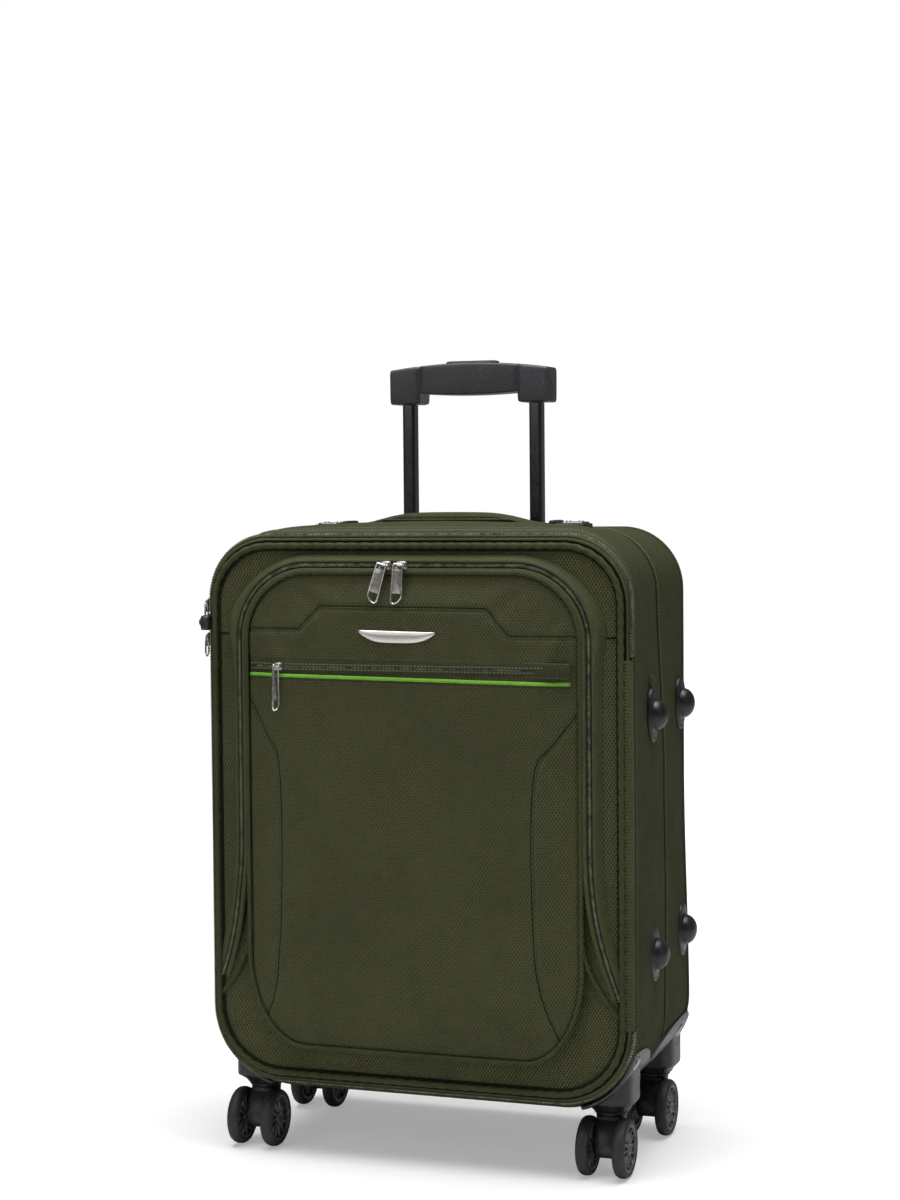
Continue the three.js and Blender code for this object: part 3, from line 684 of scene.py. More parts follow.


# in the honeycomb cloths (weave, softWeave and cord) pit is painted shade in the pits and light is also
# painted highlight on the ridges
olive = dict(dark=(66, 67, 45), light=(120, 122, 85), pit=(32, 33, 19))
mats = dict(
    weave=fabric("patterned weave", olive["dark"], olive["light"], olive["pit"], depth=0.0011, bump=0.8),
    softWeave=fabric("soft patterned weave", (62, 63, 42), (100, 102, 71), (42, 43, 27), depth=0.0008,
                     bump=0.5),
    nylon=fabric("plain nylon", (54, 57, 37), (68, 71, 48), pitch=0.7, rough=0.85, depth=0.0002),
    nylonStitched=fabric("stitched nylon edge", (54, 57, 37), (68, 71, 48), pitch=0.7, rough=0.85,
                         depth=0.0003,
                         stitchAt=(2.5, 6.5)),
    tape=fabric("zip tape", (52, 55, 38), (72, 75, 52), pitch=1.1, rough=0.78, depth=0.0003,
                stitchAt=(2.2, 12.0)),
    edging=fabric("woven edging", (66, 69, 46), (88, 91, 64), pitch=1.0, rough=0.75, depth=0.00025),
    cord=fabric("corded edge", (56, 58, 39), (100, 102, 72), (26, 27, 15), pitch=1.2, across=2.3, row=1.5,
                rough=0.8, depth=0.0006),
    # painted shade: a near-black cloth for the strips and lines laid where seams and recesses fall into
    # shadow
    groove=fabric("shadowed seam", (28, 29, 19), (38, 39, 26), pitch=1.0, rough=0.9),
    neon=fabric("bright edging", (104, 168, 50), (140, 205, 78), pitch=0.9, rough=0.6, depth=0.0002),
    thread=fabric("sewing thread", (74, 76, 54), (108, 110, 82), pitch=0.4, rough=0.6, depth=0.0001),
    lining=fabric("lining cloth", (62, 63, 62), (84, 85, 84), pitch=0.6, rough=0.7, depth=0.00015),
    webbing=fabric("webbing", (34, 35, 34), (56, 57, 55), pitch=1.6, rough=0.75, depth=0.0004),
    # the teeth's light edge colour is painted highlight as well as wear
    teeth=plastic("zip teeth", (62, 66, 50), (150, 154, 128), rough=0.35, wear=0.8),
    black=plastic("black plastic", (30, 30, 31), (84, 84, 86), rough=0.42),
    satin=plastic("satin black plastic", (20, 20, 23), (60, 60, 64), rough=0.42, depth=0.00005),
    grey=plastic("dark grey plastic", (52, 52, 56), (92, 92, 97), rough=0.45, scale=1100.0, wear=0.5),
    plate=plastic("corner plate plastic", (30, 31, 29), (84, 85, 82), rough=0.4, wear=0.6),
    rubber=plastic("tyre rubber", (38, 38, 37), (86, 84, 80), rough=0.62, scale=700.0, depth=0.0002,
                   wear=0.7),
    hub=plastic("wheel hub plastic", (82, 82, 84), (130, 130, 130), rough=0.36, wear=0.7),
    tube=plastic("black anodised tube", (18, 18, 20), (34, 35, 38), rough=0.2, scale=2400.0, depth=0.000004,
                 wear=0.12, coat=0.6),
    silver=metal("bright zinc", (176, 173, 168), (132, 129, 124), rough=0.3),
    chrome=metal("chromed rim", (222, 220, 216), (176, 173, 168), rough=0.2),
    badge=metal("brushed badge", (214, 211, 206), (188, 185, 180), rough=0.34, streak=(60, 60, 2600)),
    steel=metal("sprung steel wire", (150, 152, 156), (96, 98, 102), rough=0.34),
    board=plastic("fibre board", (150, 146, 134), (180, 176, 164), rough=0.8, scale=300.0, depth=0.0003,
                  wear=0.3),
    net=netting("pocket net", (40, 41, 40)),
)
print("materials ready:", len(mats))


# driving places, all from the frame
gussetLow, gussetHigh = boxOf("front_gusset")
rearHigh = boxOf("rear_gusset")[1]
zipLow, zipHigh = boxOf("lid_zip_tape")
lidLow, lidHigh = boxOf("lid_panel")
flapHigh = boxOf("pocket_flap_panel")[1]
lowerLow, lowerHigh = boxOf("pocket_lower_panel")
backHigh = boxOf("back_panel")[1]

case = dict(half=gussetHigh[0], bottom=gussetLow[2], top=gussetHigh[2], topRadius=55, bottomRadius=63,
            wall=4.6, midSeam=25.0, tapeEnd=-71.0, rearDrop=16.0, rearInset=18.0, crown=7.2, crownReach=158)
lid = dict(half=lidHigh[0], bottom=lidLow[2], top=lidHigh[2], topRadius=52, bottomRadius=60,
           cordRadius=2.5, cordInset=2.2, front=lidLow[1] + 4.0, zipPlane=gussetLow[1] - 4.0,
           hingeLow=130.0, hingeHigh=441.0)
zipRing = dict(half=zipHigh[0], bottom=zipLow[2] + 3.0, top=zipHigh[2], topRadius=56, bottomRadius=64,
               pitch=2.5)


def insetPath(of, inset, step, rise=None):
    # the outline of a case, lid, zip or pocket, drawn in by inset
    return roundedPath(-of["half"] + inset, of["half"] - inset, of["bottom"] + inset, of["top"] - inset,
                       max(4, of["topRadius"] - inset), max(4, of["bottomRadius"] - inset), step, rise)


def casePath(inset=0.0, step=5.0):
    return insetPath(case, inset, step)


def lidPath(inset=0.0, step=5.0):
    return insetPath(lid, inset, step)


def zipPath(inset=0.0, step=5.0):
    return insetPath(zipRing, inset, step)


def sideGive(at, normal, y):
    # the sides draw in near the top, where nothing but cloth holds the middle of the depth,
    # and the top crowns up over the packing behind the zip
    x, z = at[..., 0], at[..., 1]
    along = np.clip((y - gussetLow[1]) / (rearHigh[1] - 14 - gussetLow[1]), 0, 1)
    belly = np.sin(pi * along) ** 1.3
    drawIn = -6.5 * smooth(330, 500, z) + 1.0 * smooth(110, 200, z) * (1 - smooth(240, 330, z))
    return belly * drawIn * np.abs(normal[..., 0]) + topCrown(x, y) * np.clip(normal[..., 1], 0, 1)


def topCrown(x, y):
    middle = np.clip(1 - (x / case["crownReach"]) ** 2, 0, 1) ** 0.8
    handleFront = boxOf("carry_handle")[0][1]
    rise = smooth(-82, -44, y) * (1 - smooth(handleFront - 26, handleFront + 3, y))
    return case["crown"] * middle * rise


def toZip(normal, side, top, bottom):
    # how far a ring stands out from another, given the gap at the sides, the top and the bottom
    up, down = np.clip(normal[:, 1], 0, 1), np.clip(-normal[:, 1], 0, 1)
    return side * np.abs(normal[:, 0]) + top * up + bottom * down


def rearEdge(z):
    # how far back the sides reach: the back rounds over more towards the top
    return rearHigh[1] + 1.5 - case["rearDrop"] * smooth(110, 330, z)


def openForHandle(piece, margin=4.5):
    # cuts the hole in the top that the cup of the pull handle sits in
    low, high = boxOf("trolley_bezel")
    low, high = (low + margin) / 1000, (high - margin) / 1000
    work = bmesh.new()
    work.from_mesh(piece.data)
    for axis in (0, 1):
        for corner in (low, high):
            point, facing = [0, 0, 0], [0, 0, 0]
            point[axis], facing[axis] = corner[axis], 1
            bmesh.ops.bisect_plane(work, geom=work.verts[:] + work.edges[:] + work.faces[:],
                                   plane_co=point, plane_no=facing, dist=1e-6)
    inside = []
    for face in work.faces:
        at = face.calc_center_median()
        if low[0] < at.x < high[0] and low[1] < at.y < high[1] and at.z > case["top"] / 1000 - 0.02:
            inside.append(face)
    bmesh.ops.delete(work, geom=inside, context="FACES")
    bmesh.ops.bridge_loops(work, edges=[edge for edge in work.edges if edge.is_boundary])
    work.to_mesh(piece.data)
    work.free()


def makeGussets():
    path = casePath()
    wall = case["wall"]
    seam = case["midSeam"]
    front = Skin()
    y0 = case["tapeEnd"]
    profile = [(-0.6, y0 - 2), (0.2, y0), (0.5, y0 + 3), (0.6, -60), (0.6, -45), (0.6, -34), (0.7, -22),
               (0.7, -10), (0.6, 4), (0.5, seam - 6), (0.2, seam - 3.4), (-1.2, seam - 2.4)]
    profile += [(-wall, y) for y in (seam - 2.6, 0, -20, -40, -60, gussetLow[1] + 2)]
    front.hoop(path, profile, sideGive)
    front.build("front_gusset_cloth", "nylonStitched", "case", replaces=["front_gusset"], subdivide=1)

    tape = Skin()
    z0 = gussetLow[1]
    reach = toZip(outward(path), zipRing["half"] - case["half"], zipRing["top"] - case["top"],
                  case["bottom"] - zipRing["bottom"])
    rows = [[(r - 1.2, z0 - 2.2), (r - 0.7, z0 - 1.8), (r * 0.75 + 0.2, z0 + 2), (r * 0.3 + 0.6, z0 + 7),
             (0.9, y0 - 0.5), (0.2, y0 + 0.4), (-0.6, y0 - 1), (r * 0.3 - 1.2, z0 + 5),
             (r - 2.4, z0 - 1.8)] for r in reach]
    tape.hoop(path, np.array(rows), sideGive)
    tape.build("main_zip_tape_case_side", "tape", "case", replaces=["main_zip_tape"])

    # painted shade: a dark recessed strip where the front and rear sides meet, in place of the middle
    # piping
    groove = Skin()
    profile = [(-1.8, seam - 3), (-1.6, seam), (-1.8, seam + 3.4), (-wall, seam + 3.4), (-wall, seam - 3)]
    groove.hoop(path, profile, sideGive)
    groove.build("mid_seam", "groove", "case", "plain_nylon", ["mid_piping"])

    rear = Skin()
    normals = outward(path)
    edge = rearEdge(path[:, 1])
    rows = []
    for e in edge:
        span = e - seam
        rows.append([(-wall, seam + 3), (-1.0, seam + 2.0), (0.2, seam + 3.2), (0.6, seam + 6),
                     (0.7, seam + 0.3 * span), (0.6, seam + 0.6 * span), (0.0, seam + 0.88 * span),
                     (-1.0, e - 1.0), (-2.6, e), (-wall - 0.6, e - 2.0), (-wall, seam + 0.8 * span),
                     (-wall, seam + 0.6 * span), (-wall, seam + 0.3 * span)])
    rear.hoop(path, np.array(rows), sideGive)
    openForHandle(rear.build("rear_gusset_cloth", "nylonStitched", "case", replaces=["rear_gusset"],
                             subdivide=1))

    # the thin corded line where the sides meet the back
    cord = Skin()
    line = np.stack([path[:, 0] + normals[:, 0] * -1.2, edge + 0.6, path[:, 1] + normals[:, 1] * -1.2], 1)
    addTube(cord, line, 1.7, 8, closed=True)
    cord.build("rear_corded_edge", "cord", "case")


def makeBackPanel():
    # a padded panel that rounds over from the corded edge to the flat back
    path = casePath()
    normals = outward(path)
    edge = rearEdge(path[:, 1]) + 0.4
    flat = backHigh[1]
    reach = case["rearInset"]
    rows = []
    for k in np.linspace(0, 1, 9):
        inset = 2.6 + reach * (1 - cos(k * pi / 2))
        y = edge + (flat - edge) * sin(k * pi / 2)
        rows.append(np.stack([path[:, 0] - normals[:, 0] * inset, y, path[:, 1] - normals[:, 1] * inset],
                             1))
    for inset in (26, 34):
        ring = resampleTo(casePath(inset), len(path))
        rows.append(np.stack([ring[:, 0], np.full(len(path), flat), ring[:, 1]], 1))
    inner = [np.stack([r[:, 0], np.minimum(r[:, 1] - 3.0, flat - 4.6), r[:, 2]], 1) for r in rows]
    skin = Skin()
    skin.rings(rows, flat=True)
    skin.rings(inner, flat=True)
    skin.rings([inner[0], rows[0]])
    skin.cap(rows[-1])
    skin.cap(inner[-1])
    panel = skin.build("back_panel_cloth", "nylon", "case", replaces=["back_panel"])
    back = Skin()
    for inset in (30, 33):
        addStitches(back, place3(casePath(inset, 2.0), flat + 0.1, "y"), up=(0, 1, 0), pitch=4.0,
                    length=2.7)
    for z in (168.0, 171.0, 452.0, 455.0):
        line = place3([(-150, z), (150, z)], flat + 0.1, "y")
        addStitches(back, line, up=(0, 1, 0), pitch=4.0, length=2.7)
    back.build("back_stitching", "thread", "case", "plain_nylon")


makeGussets()
makeBackPanel()
print("gussets and back made")


def openRun(path, keep):
    # the points of a closed path that satisfy keep, in order from just after the gap
    flags = np.array([keep(p) for p in path])
    if flags.all():
        return path
    start = np.where(flags & ~np.roll(flags, 1))[0][0]
    order = [(start + k) % len(path) for k in range(len(path))]
    return path[[k for k in order if flags[k]]]


def onHinge(p):
    return p[0] > 0 and lid["hingeLow"] < p[1] < lid["hingeHigh"]


def makeLid():
    panel = Skin()
    rows = []
    front = lid["front"]
    for inset, y in ((3.6, front + 3.2), (5.2, front + 0.9), (7.5, front - 0.2), (12, front - 0.7),
                     (22, front - 0.5), (36, front), (50, front)):
        ring = resampleTo(lidPath(inset), 330)
        rows.append(place3(ring, y, "y"))
    back = [place3(resampleTo(lidPath(inset), 330), y, "y")
            for inset, y in ((3.6, lidHigh[1]), (50, lidHigh[1]))]
    panel.rings(rows, flat=True)
    panel.rings([rows[0], back[0], back[1]], flat=True)
    panel.cap(rows[-1])
    panel.cap(back[1])
    piece = panel.build("lid_panel_cloth", "weave", "lid", replaces=["lid_panel"])

    cord = Skin()
    ring = place3(lidPath(lid["cordInset"], 3.0), lid["front"] - 2.6, "y")
    addTube(cord, ring, lid["cordRadius"], 12, closed=True, twist=0.09)
    cord.build("lid_corded_edge", "cord", "lid")

    # painted shade: a dark flange beside the corded edge, standing for the shadow next to the cord
    groove = Skin()
    profile = [(0.4, front - 2.0), (-6.5, front - 1.3), (-7.4, front + 0.6), (-6.5, front + 3.0),
               (0.4, front + 3.0)]
    groove.hoop(lidPath(), profile)
    groove.build("lid_cord_flange", "groove", "lid", "plain_nylon")

    # the narrow band that slopes from the cord back to the zip
    plane = lid["zipPlane"]
    path = lidPath()
    reach = toZip(outward(path), zipRing["half"] - lid["half"], zipRing["top"] - lid["top"],
                  lid["bottom"] - zipRing["bottom"]) - 0.4
    rows = [[(0.0, front + 2.4), (1.3, front + 2.0), (1.9, front - 0.4), (2.6, front - 0.9),
             (r * 0.3 + 1.8, front), (r - 1.0, plane - 3.6), (r - 0.7, plane - 2.8),
             (r - 1.2, plane - 2.3), (r - 2.6, plane - 2.2), (-0.6, plane - 1.2)] for r in reach]
    band = Skin()
    band.hoop(path, np.array(rows))
    band.build("lid_edge_band", "edging", "lid", "zip_fabric", ["lid_zip_tape"])

    # the lid's cloth is joined at the yoke: a lapped seam, drawn as a thin dark tube of painted shade, with
    # a row of stitches over it
    rows, lap = Skin(), Skin()
    for sign in (-1, 1):
        line = place3([(sign * 178.5, 457.0), (sign * 158, 457.0)], front - 0.75, "y")
        addTube(lap, line, 0.8, 8, flatten=0.7, up=(0, -1, 0))
        addStitches(rows, line + np.array([0, 0, 3.0]))
    rows.build("lid_yoke_stitches", "thread", "lid", "patterned_weave")
    lap.build("lid_yoke_seam", "groove", "lid", "patterned_weave")


def makeMainZip():
    plane = lid["zipPlane"]
    path = zipPath(0, zipRing["pitch"])
    normals = np.column_stack([outward(path)[:, 0], np.zeros(len(path)), outward(path)[:, 1]])
    free = np.array([not onHinge(p) for p in path])
    points = place3(path, plane, "y")
    along = np.roll(points, -1, 0) - np.roll(points, 1, 0)
    along /= np.linalg.norm(along, axis=1)[:, None]
    for side, sign, body in (("lid", -1, "lid"), ("case", 1, "case")):
        teeth = Skin()
        for k in np.flatnonzero(free):
            centre = points[k] + along[k] * (0.62 * sign) + np.array([0, sign * 1.15, 0]) + normals[k] * 0.3
            addBlock(teeth, centre, (1.25, 3.2, 2.0), (along[k], (0, 1, 0), normals[k]), taper=0.75)
        teeth.build(f"main_zip_teeth_{side}_side", "teeth", body, flatShade=True)
    # each half's tape, right up to the teeth
    for side, sign, body in (("lid", -1, "lid"), ("case", 1, "case")):
        tape = Skin()
        run = openRun(zipPath(0, 4.0), lambda p: not onHinge(p))
        y = plane + sign * 1.0
        profile = [(-1.2, y), (-0.6, y), (-0.3, y + sign * 2.6), (-1.4, y + sign * 4.2),
                   (-2.2, y + sign * 4.2), (-2.0, y + sign * 0.5)]
        rows = ringRows(run, profile, closed=False)
        tape.bar(rows)
        tape.build(f"main_zip_webbing_{side}_side", "tape", body)
    # the cloth hinge down the right-hand side, in place of the zip
    run = np.array([(zipRing["half"], z) for z in np.arange(lid["hingeLow"], lid["hingeHigh"] + 1, 3.0)])
    outer = [(-5.6, plane - 7.4), (-2.4, plane - 6.4), (-0.5, plane - 3.5), (0.2, plane),
             (-0.1, plane + 3.5), (-0.8, plane + 7), (-1.4, plane + 11.5)]
    profile = outer + [(o - 1.2, y) for o, y in outer[::-1]]
    rows = ringRows(run, profile, closed=False)
    hinge = Skin()
    hinge.bar(rows)
    bend = dict(first="case", second="lid", start=(0.19, plane / 1000 + 0.004, 0.3),
                end=(0.19, plane / 1000 - 0.004, 0.3))
    piece = hinge.build("cloth_hinge", "weave", bend)
    length = (lid["hingeHigh"] - lid["hingeLow"]) / 1000
    return piece, length


def makeBarTacks():
    # close zigzag stitching at both ends of the cloth hinge
    plane = lid["zipPlane"]
    tacks = Skin()
    for z in (lid["hingeLow"] - 1, lid["hingeLow"] + 5, lid["hingeHigh"] - 5, lid["hingeHigh"] + 1):
        line = [(zipRing["half"] - 0.2, plane + 13, z), (zipRing["half"] + 0.5, plane + 8, z),
                (zipRing["half"] + 0.8, plane + 4.5, z)]
        addStitches(tacks, line, pitch=2.2, length=1.8, radius=0.4, up=(1, 0, 0), lift=0.3)
    tacks.build("hinge_bar_tacks", "edging", "case", "zip_fabric")
    runs = Skin()
    for y, x in ((plane + 10.2, zipRing["half"] - 1.1), (plane + 7.6, zipRing["half"] - 0.7)):
        line = [(x, y, lid["hingeLow"] + 3), (x, y, lid["hingeHigh"] - 3)]
        addStitches(runs, line, up=(1, 0, 0), pitch=3.6)
    runs.build("hinge_stitches", "thread", "case", "zip_fabric")
    # painted shade: a thin dark tube along the hinge's edge, standing for the shadow of its seam
    edge = Skin()
    line = [(zipRing["half"] - 1.7, plane + 12.6, z)
            for z in np.linspace(lid["hingeLow"], lid["hingeHigh"], 60)]
    addTube(edge, line, 0.8, 8, up=(1, 0, 0))
    edge.build("hinge_edge_seam", "groove", "case", "zip_fabric")


makeLid()
hingePiece, hingeLength = makeMainZip()
makeBarTacks()
print("lid and main zip made")


pocket = dict(half=flapHigh[0], bottom=lowerLow[2], top=flapHigh[2], topRadius=56.0, bottomRadius=50.0,
              rise=78.0, rim=-100.5, crown=-109.6, back=lowerHigh[1] - 0.4, flapBack=flapHigh[1],
              cordRadius=1.9, pressure=4.0, voxel=5.0, give=3.5, furthest=-111.6)
flapBend = dict(first="lid", second="pocket_flap", start=(0, -0.104, 0.150), end=(0, -0.104, 0.200))


def pocketPath(inset=0.0, step=4.0):
    return insetPath(pocket, inset, step, pocket["rise"] - inset)


def curveThrough(points, steps=12):
    # a Catmull-Rom curve through given points
    p = np.asarray(points, float)
    p = np.vstack([2 * p[0] - p[1], p, 2 * p[-1] - p[-2]])
    out = []
    for k in range(1, len(p) - 2):
        for t in np.arange(steps) / steps:
            a, b, c, d = p[k - 1], p[k], p[k + 1], p[k + 2]
            out.append(0.5 * (2 * b + (c - a) * t + (2 * a - 5 * b + 4 * c - d) * t * t
                              + (3 * b - a - 3 * c + d) * t ** 3))
    out.append(p[-2])
    return np.array(out)


seams = dict(
    yoke=[(-149, 461), (-98.5, 461.5), (-79.5, 481), (70, 480), (90, 457), (149, 457)],
    right=curveThrough([(149, 394), (127, 366), (113.8, 346), (110, 279), (112.6, 187), (121, 146),
                        (134, 116)]),
    left=curveThrough([(-149, 402), (-132, 370), (-120.5, 350), (-117.6, 287), (-121, 190), (-128, 146),
                       (-139, 119)]),
)


def nearest(points, line):
    # distance in X and Z from each point to a polyline
    points = np.asarray(points, float)
    line = np.asarray(line, float)
    best = np.full(len(points), 1e9)
    for a, b in zip(line[:-1], line[1:]):
        ab = b - a
        t = np.clip(((points - a) @ ab) / (ab @ ab), 0, 1)
        best = np.minimum(best, np.linalg.norm(points - (a + t[:, None] * ab), axis=1))
    return best


def swell(skin, name, pressure, voxel, pinned, frames=20):
    # blows a closed shape up like a stuffed pad and gives back its points (mm) and faces
    rough = skin.build(name, "softWeave")
    cells = rough.modifiers.new("cells", "REMESH")
    cells.mode = "VOXEL"
    cells.voxel_size = voxel / 1000
    start = bpy.data.meshes.new_from_object(rough.evaluated_get(bpy.context.evaluated_depsgraph_get()))
    rough.modifiers.clear()
    rough.data = start
    rest = np.array([v.co for v in start.vertices])
    held = rough.vertex_groups.new(name="held")
    held.add([k for k, p in enumerate(rest * 1000) if pinned(p)], 1.0, "REPLACE")
    cloth = rough.modifiers.new("air", "CLOTH")
    cloth.settings.use_pressure = True
    cloth.settings.uniform_pressure_force = pressure
    cloth.settings.vertex_group_mass = "held"
    cloth.settings.effector_weights.gravity = 0
    cloth.settings.quality = 4
    cloth.collision_settings.use_collision = False
    for frame in range(1, frames + 1):
        scene.frame_set(frame)
    blown = bpy.data.meshes.new_from_object(rough.evaluated_get(bpy.context.evaluated_depsgraph_get()))
    moved = np.array([v.co for v in blown.vertices])
    faces = [list(p.vertices) for p in blown.polygons]
    scene.frame_set(1)
    bpy.data.objects.remove(rough)
    bpy.data.meshes.remove(start)
    bpy.data.meshes.remove(blown)
    return rest * 1000, moved * 1000, faces


def capped(rest, moved, most):
    step = moved - rest
    size = np.linalg.norm(step, axis=1)
    return rest + step * np.minimum(1, most / np.maximum(size, 1e-6))[:, None]


def pocketCrown():
    # the front surface of the stuffed panel, as a function of X and Z
    pad = Skin()
    rows = []
    for inset, y in ((2, pocket["rim"] + 1), (3.5, pocket["rim"] - 1.5), (7, -104.0), (16, -105.2),
                     (40, -106)):
        rows.append(place3(resampleTo(pocketPath(inset), 220), y, "y"))
    under = [place3(resampleTo(pocketPath(inset), 220), -96.0, "y") for inset in (3, 40)]
    pad.rings(rows)
    pad.rings([rows[0], under[0], under[1]])
    pad.cap(rows[-1])
    pad.cap(under[1])
    rest, moved, faces = swell(pad, "pocket_pad_air", pocket["pressure"], pocket["voxel"],
                               lambda p: p[1] > -99.5)
    final = capped(rest, moved, pocket["give"])
    tree = BVHTree.FromPolygons(final.tolist(), faces)
    middle = float(np.percentile(final[:, 1], 1))
    print("pocket panel swollen to", round(middle, 1))

    def heightAt(xz):
        out = []
        for x, z in xz:
            hit = tree.ray_cast(Vector((x, -130, z)), Vector((0, 1, 0)))[0]
            out.append(min(hit.y, -103.0) if hit else -103.0)
        return np.maximum(np.array(out), pocket["crown"] - 0.6)
    return heightAt


def makePocketPanel():
    halfWidth = pocket["half"]
    bottom, top = pocket["bottom"], pocket["top"]
    zs = np.concatenate([bottom + np.array([0, 0.15, 0.5, 1.0, 1.7]),
                         np.arange(bottom + 2.6, top - 2.5, 2.0),
                         top - np.array([2.0, 1.3, 0.8, 0.4, 0.12, 0])])
    low = bottom + pocket["rise"] - zs
    high = zs - (top - pocket["topRadius"])
    width = np.full(len(zs), halfWidth)
    for radius, rise, share in ((pocket["bottomRadius"], pocket["rise"], low),
                                (pocket["topRadius"],) * 2 + (high,)):
        at = share > 0
        width[at] = halfWidth - radius * (1 - np.sqrt(np.clip(1 - (share[at] / rise) ** 2, 0, 1)))
    across = np.linspace(-1, 1, 150)
    x = width[:, None] * across[None]
    z = np.repeat(zs[:, None], len(across), 1)
    flat = np.stack([x.ravel(), z.ravel()], 1)
    path = pocketPath(0, 3.0)
    edge = nearest(flat, np.vstack([path, path[:1]]))
    crown = pocketCrown()(flat)
    rounding = np.sqrt(np.clip(1 - (1 - np.clip(edge / 6.5, 0, 1)) ** 2, 0, 1))
    y = pocket["rim"] + (crown - pocket["rim"]) * rounding
    for line in seams.values():
        d = nearest(flat, line)
        y += 1.15 * np.exp(-(d / 1.7) ** 2) - 0.45 * np.exp(-((d - 6) / 4) ** 2) * rounding
    # the bound edge under the small zip, and the flat strip that the zip is sewn on
    line = smallZip["piping"]
    d = flat[:, 1] - np.interp(flat[:, 0], [line[0][0], line[1][0]], [line[0][1], line[1][1]])
    y += 1.0 * np.exp(-((d + 0.5) / 2.2) ** 2) + 0.8 * smooth(0, 3, d) * (1 - smooth(13, 17, d))
    # soft unevenness where the padding has settled
    wave = np.sin(flat[:, 0] / 31 + 1.3) * np.sin(flat[:, 1] / 43)
    wave += 0.6 * np.sin(flat[:, 0] / 17 + flat[:, 1] / 29)
    y += 0.28 * wave * np.clip(edge / 30, 0, 1)
    y = np.maximum(y, pocket["furthest"])
    front = np.stack([flat[:, 0], y, flat[:, 1]], 1).reshape(len(zs), len(across), 3)
    back = front.copy()
    back[:, :, 1] = (pocket["back"] + (pocket["flapBack"] + 0.2 - pocket["back"])
                     * smooth(163, 172, zs))[:, None]
    back[:, :, 1] = np.maximum(back[:, :, 1], front[:, :, 1] + 0.8)
    skin = Skin()
    skin.slab(front, back, flat=True)
    panel = skin.build("pocket_panel", "softWeave", flapBend,
                       replaces=["pocket_flap_panel", "pocket_lower_panel"])
    polys = [(i * len(across) + j, (i + 1) * len(across) + j, (i + 1) * len(across) + j + 1,
              i * len(across) + j + 1) for i in range(len(zs) - 1) for j in range(len(across) - 1)]
    tree = BVHTree.FromPolygons(front.reshape(-1, 3).tolist(), polys)

    def frontY(px, pz):
        hit = tree.ray_cast(Vector((px, -140, pz)), Vector((0, 1, 0)))[0]
        return hit.y if hit else pocket["rim"]
    return frontY


smallZip = dict(z=430.0, left=-146.0, right=141.0, patch=105.0, piping=[(-147, 422.6), (142, 418.7)],
                pipingRadius=1.55, pitch=1.9, tape=5.4)


def makePocketTrim(frontY):
    cord = Skin()
    ring = place3(pocketPath(-1.3, 2.6), pocket["rim"] - 2.6, "y")
    addTube(cord, ring, pocket["cordRadius"], 12, closed=True, twist=0.13)
    cord.build("pocket_corded_edge", "cord", flapBend)

    thread, welt, ditch = Skin(), Skin(), Skin()
    onPanel = lambda line, lift=0.0: np.array([(p[0], frontY(p[0], p[1]) - lift, p[1]) for p in line])
    for name, line in seams.items():
        # each seam is a welt with a ditch on its inner side, drawn as a thin dark tube of painted shade,
        # and stitches beyond it
        run = resample(np.asarray(line, float), 1.6)
        normals = outward(run, closed=False) * (1 if name != "right" else -1)
        inside = lambda points: points[np.abs(points[:, 0]) < 146.5]
        addTube(welt, onPanel(inside(run), -0.15), 0.85, 8, up=(0, -1, 0), twist=0.2)
        addTube(ditch, onPanel(inside(run - normals * 1.25), -0.12), 0.55, 6, up=(0, -1, 0))
        addStitches(thread, onPanel(inside(run + normals * 3.2)), pitch=3.4)
    z0 = smallZip["piping"]
    below = resample(np.array([(p[0], p[1] - 4.4) for p in z0]), 3.0)
    addStitches(thread, onPanel(below[2:-2]), pitch=3.4)
    above = resample(np.array([(-143, smallZip["z"] + 8.5), (143, smallZip["z"] + 6.0)]), 3.0)
    addStitches(thread, onPanel(above), pitch=3.4)
    thread.build("pocket_panel_stitches", "thread", flapBend, "patterned_weave")
    welt.build("pocket_seam_welts", "edging", flapBend, "patterned_weave")
    ditch.build("pocket_seam_ditches", "groove", flapBend, "patterned_weave")

    piping = Skin()
    line = resample(np.array(z0, float), 4.0)
    path = onPanel(line, 0.5)
    addTube(piping, path, smallZip["pipingRadius"], 12, up=(0, -1, 0))
    piping.build("bright_piping", "neon", "pocket_flap")

    # the small zip: two tapes with their inner edges turned up to the teeth
    tape = Skin()
    xs = np.arange(smallZip["left"], smallZip["right"] + 0.1, 3.0)
    z = smallZip["z"]
    for sign in (-1, 1):
        rows = []
        for px in xs:
            base = frontY(px, z + sign * 4) - 0.15
            profile = [(0.9, 0.25), (1.0, -0.75), (2.4, -0.85), (3.2, -0.3), (5.6, -0.15), (5.8, 0.4)]
            rows.append([(px, base + dy, z + sign * dz) for dz, dy in profile])
        tape.bar(rows)
    tape.build("small_zip_tapes", "tape", "pocket_flap", replaces=["small_zip_tape"])
    teeth = Skin()
    for px in np.arange(-140, smallZip["patch"], smallZip["pitch"]):
        for sign in (-1, 1):
            centre = (px + 0.45 * sign, frontY(px, z + 4) - 0.35, z + 0.55 * sign)
            addBlock(teeth, centre, (0.9, 1.5, 0.9), ((1, 0, 0), (0, 0, 1), (0, -1, 0)), taper=0.7)
    teeth.build("small_zip_teeth", "teeth", "pocket_flap", flatShade=True)
    patch = Skin()
    outline = [(smallZip["patch"], z - 5.8), (smallZip["right"] + 2, z - 6.4),
               (smallZip["right"] + 2, z + 6.2), (smallZip["patch"], z + 6.4)]
    addPlate(patch, outline, frontY(122, z + 4) + 0.4, frontY(122, z + 4) - 1.3, "y", edge=0.5)
    patch.build("small_zip_end_patch", "tape", "pocket_flap", "plain_nylon")


band = dict(out=8.6, topOut=7.4, tailTop=290.0, tailEnd=157.0, tailReach=23.0, radius=64.0, pitch=2.0)


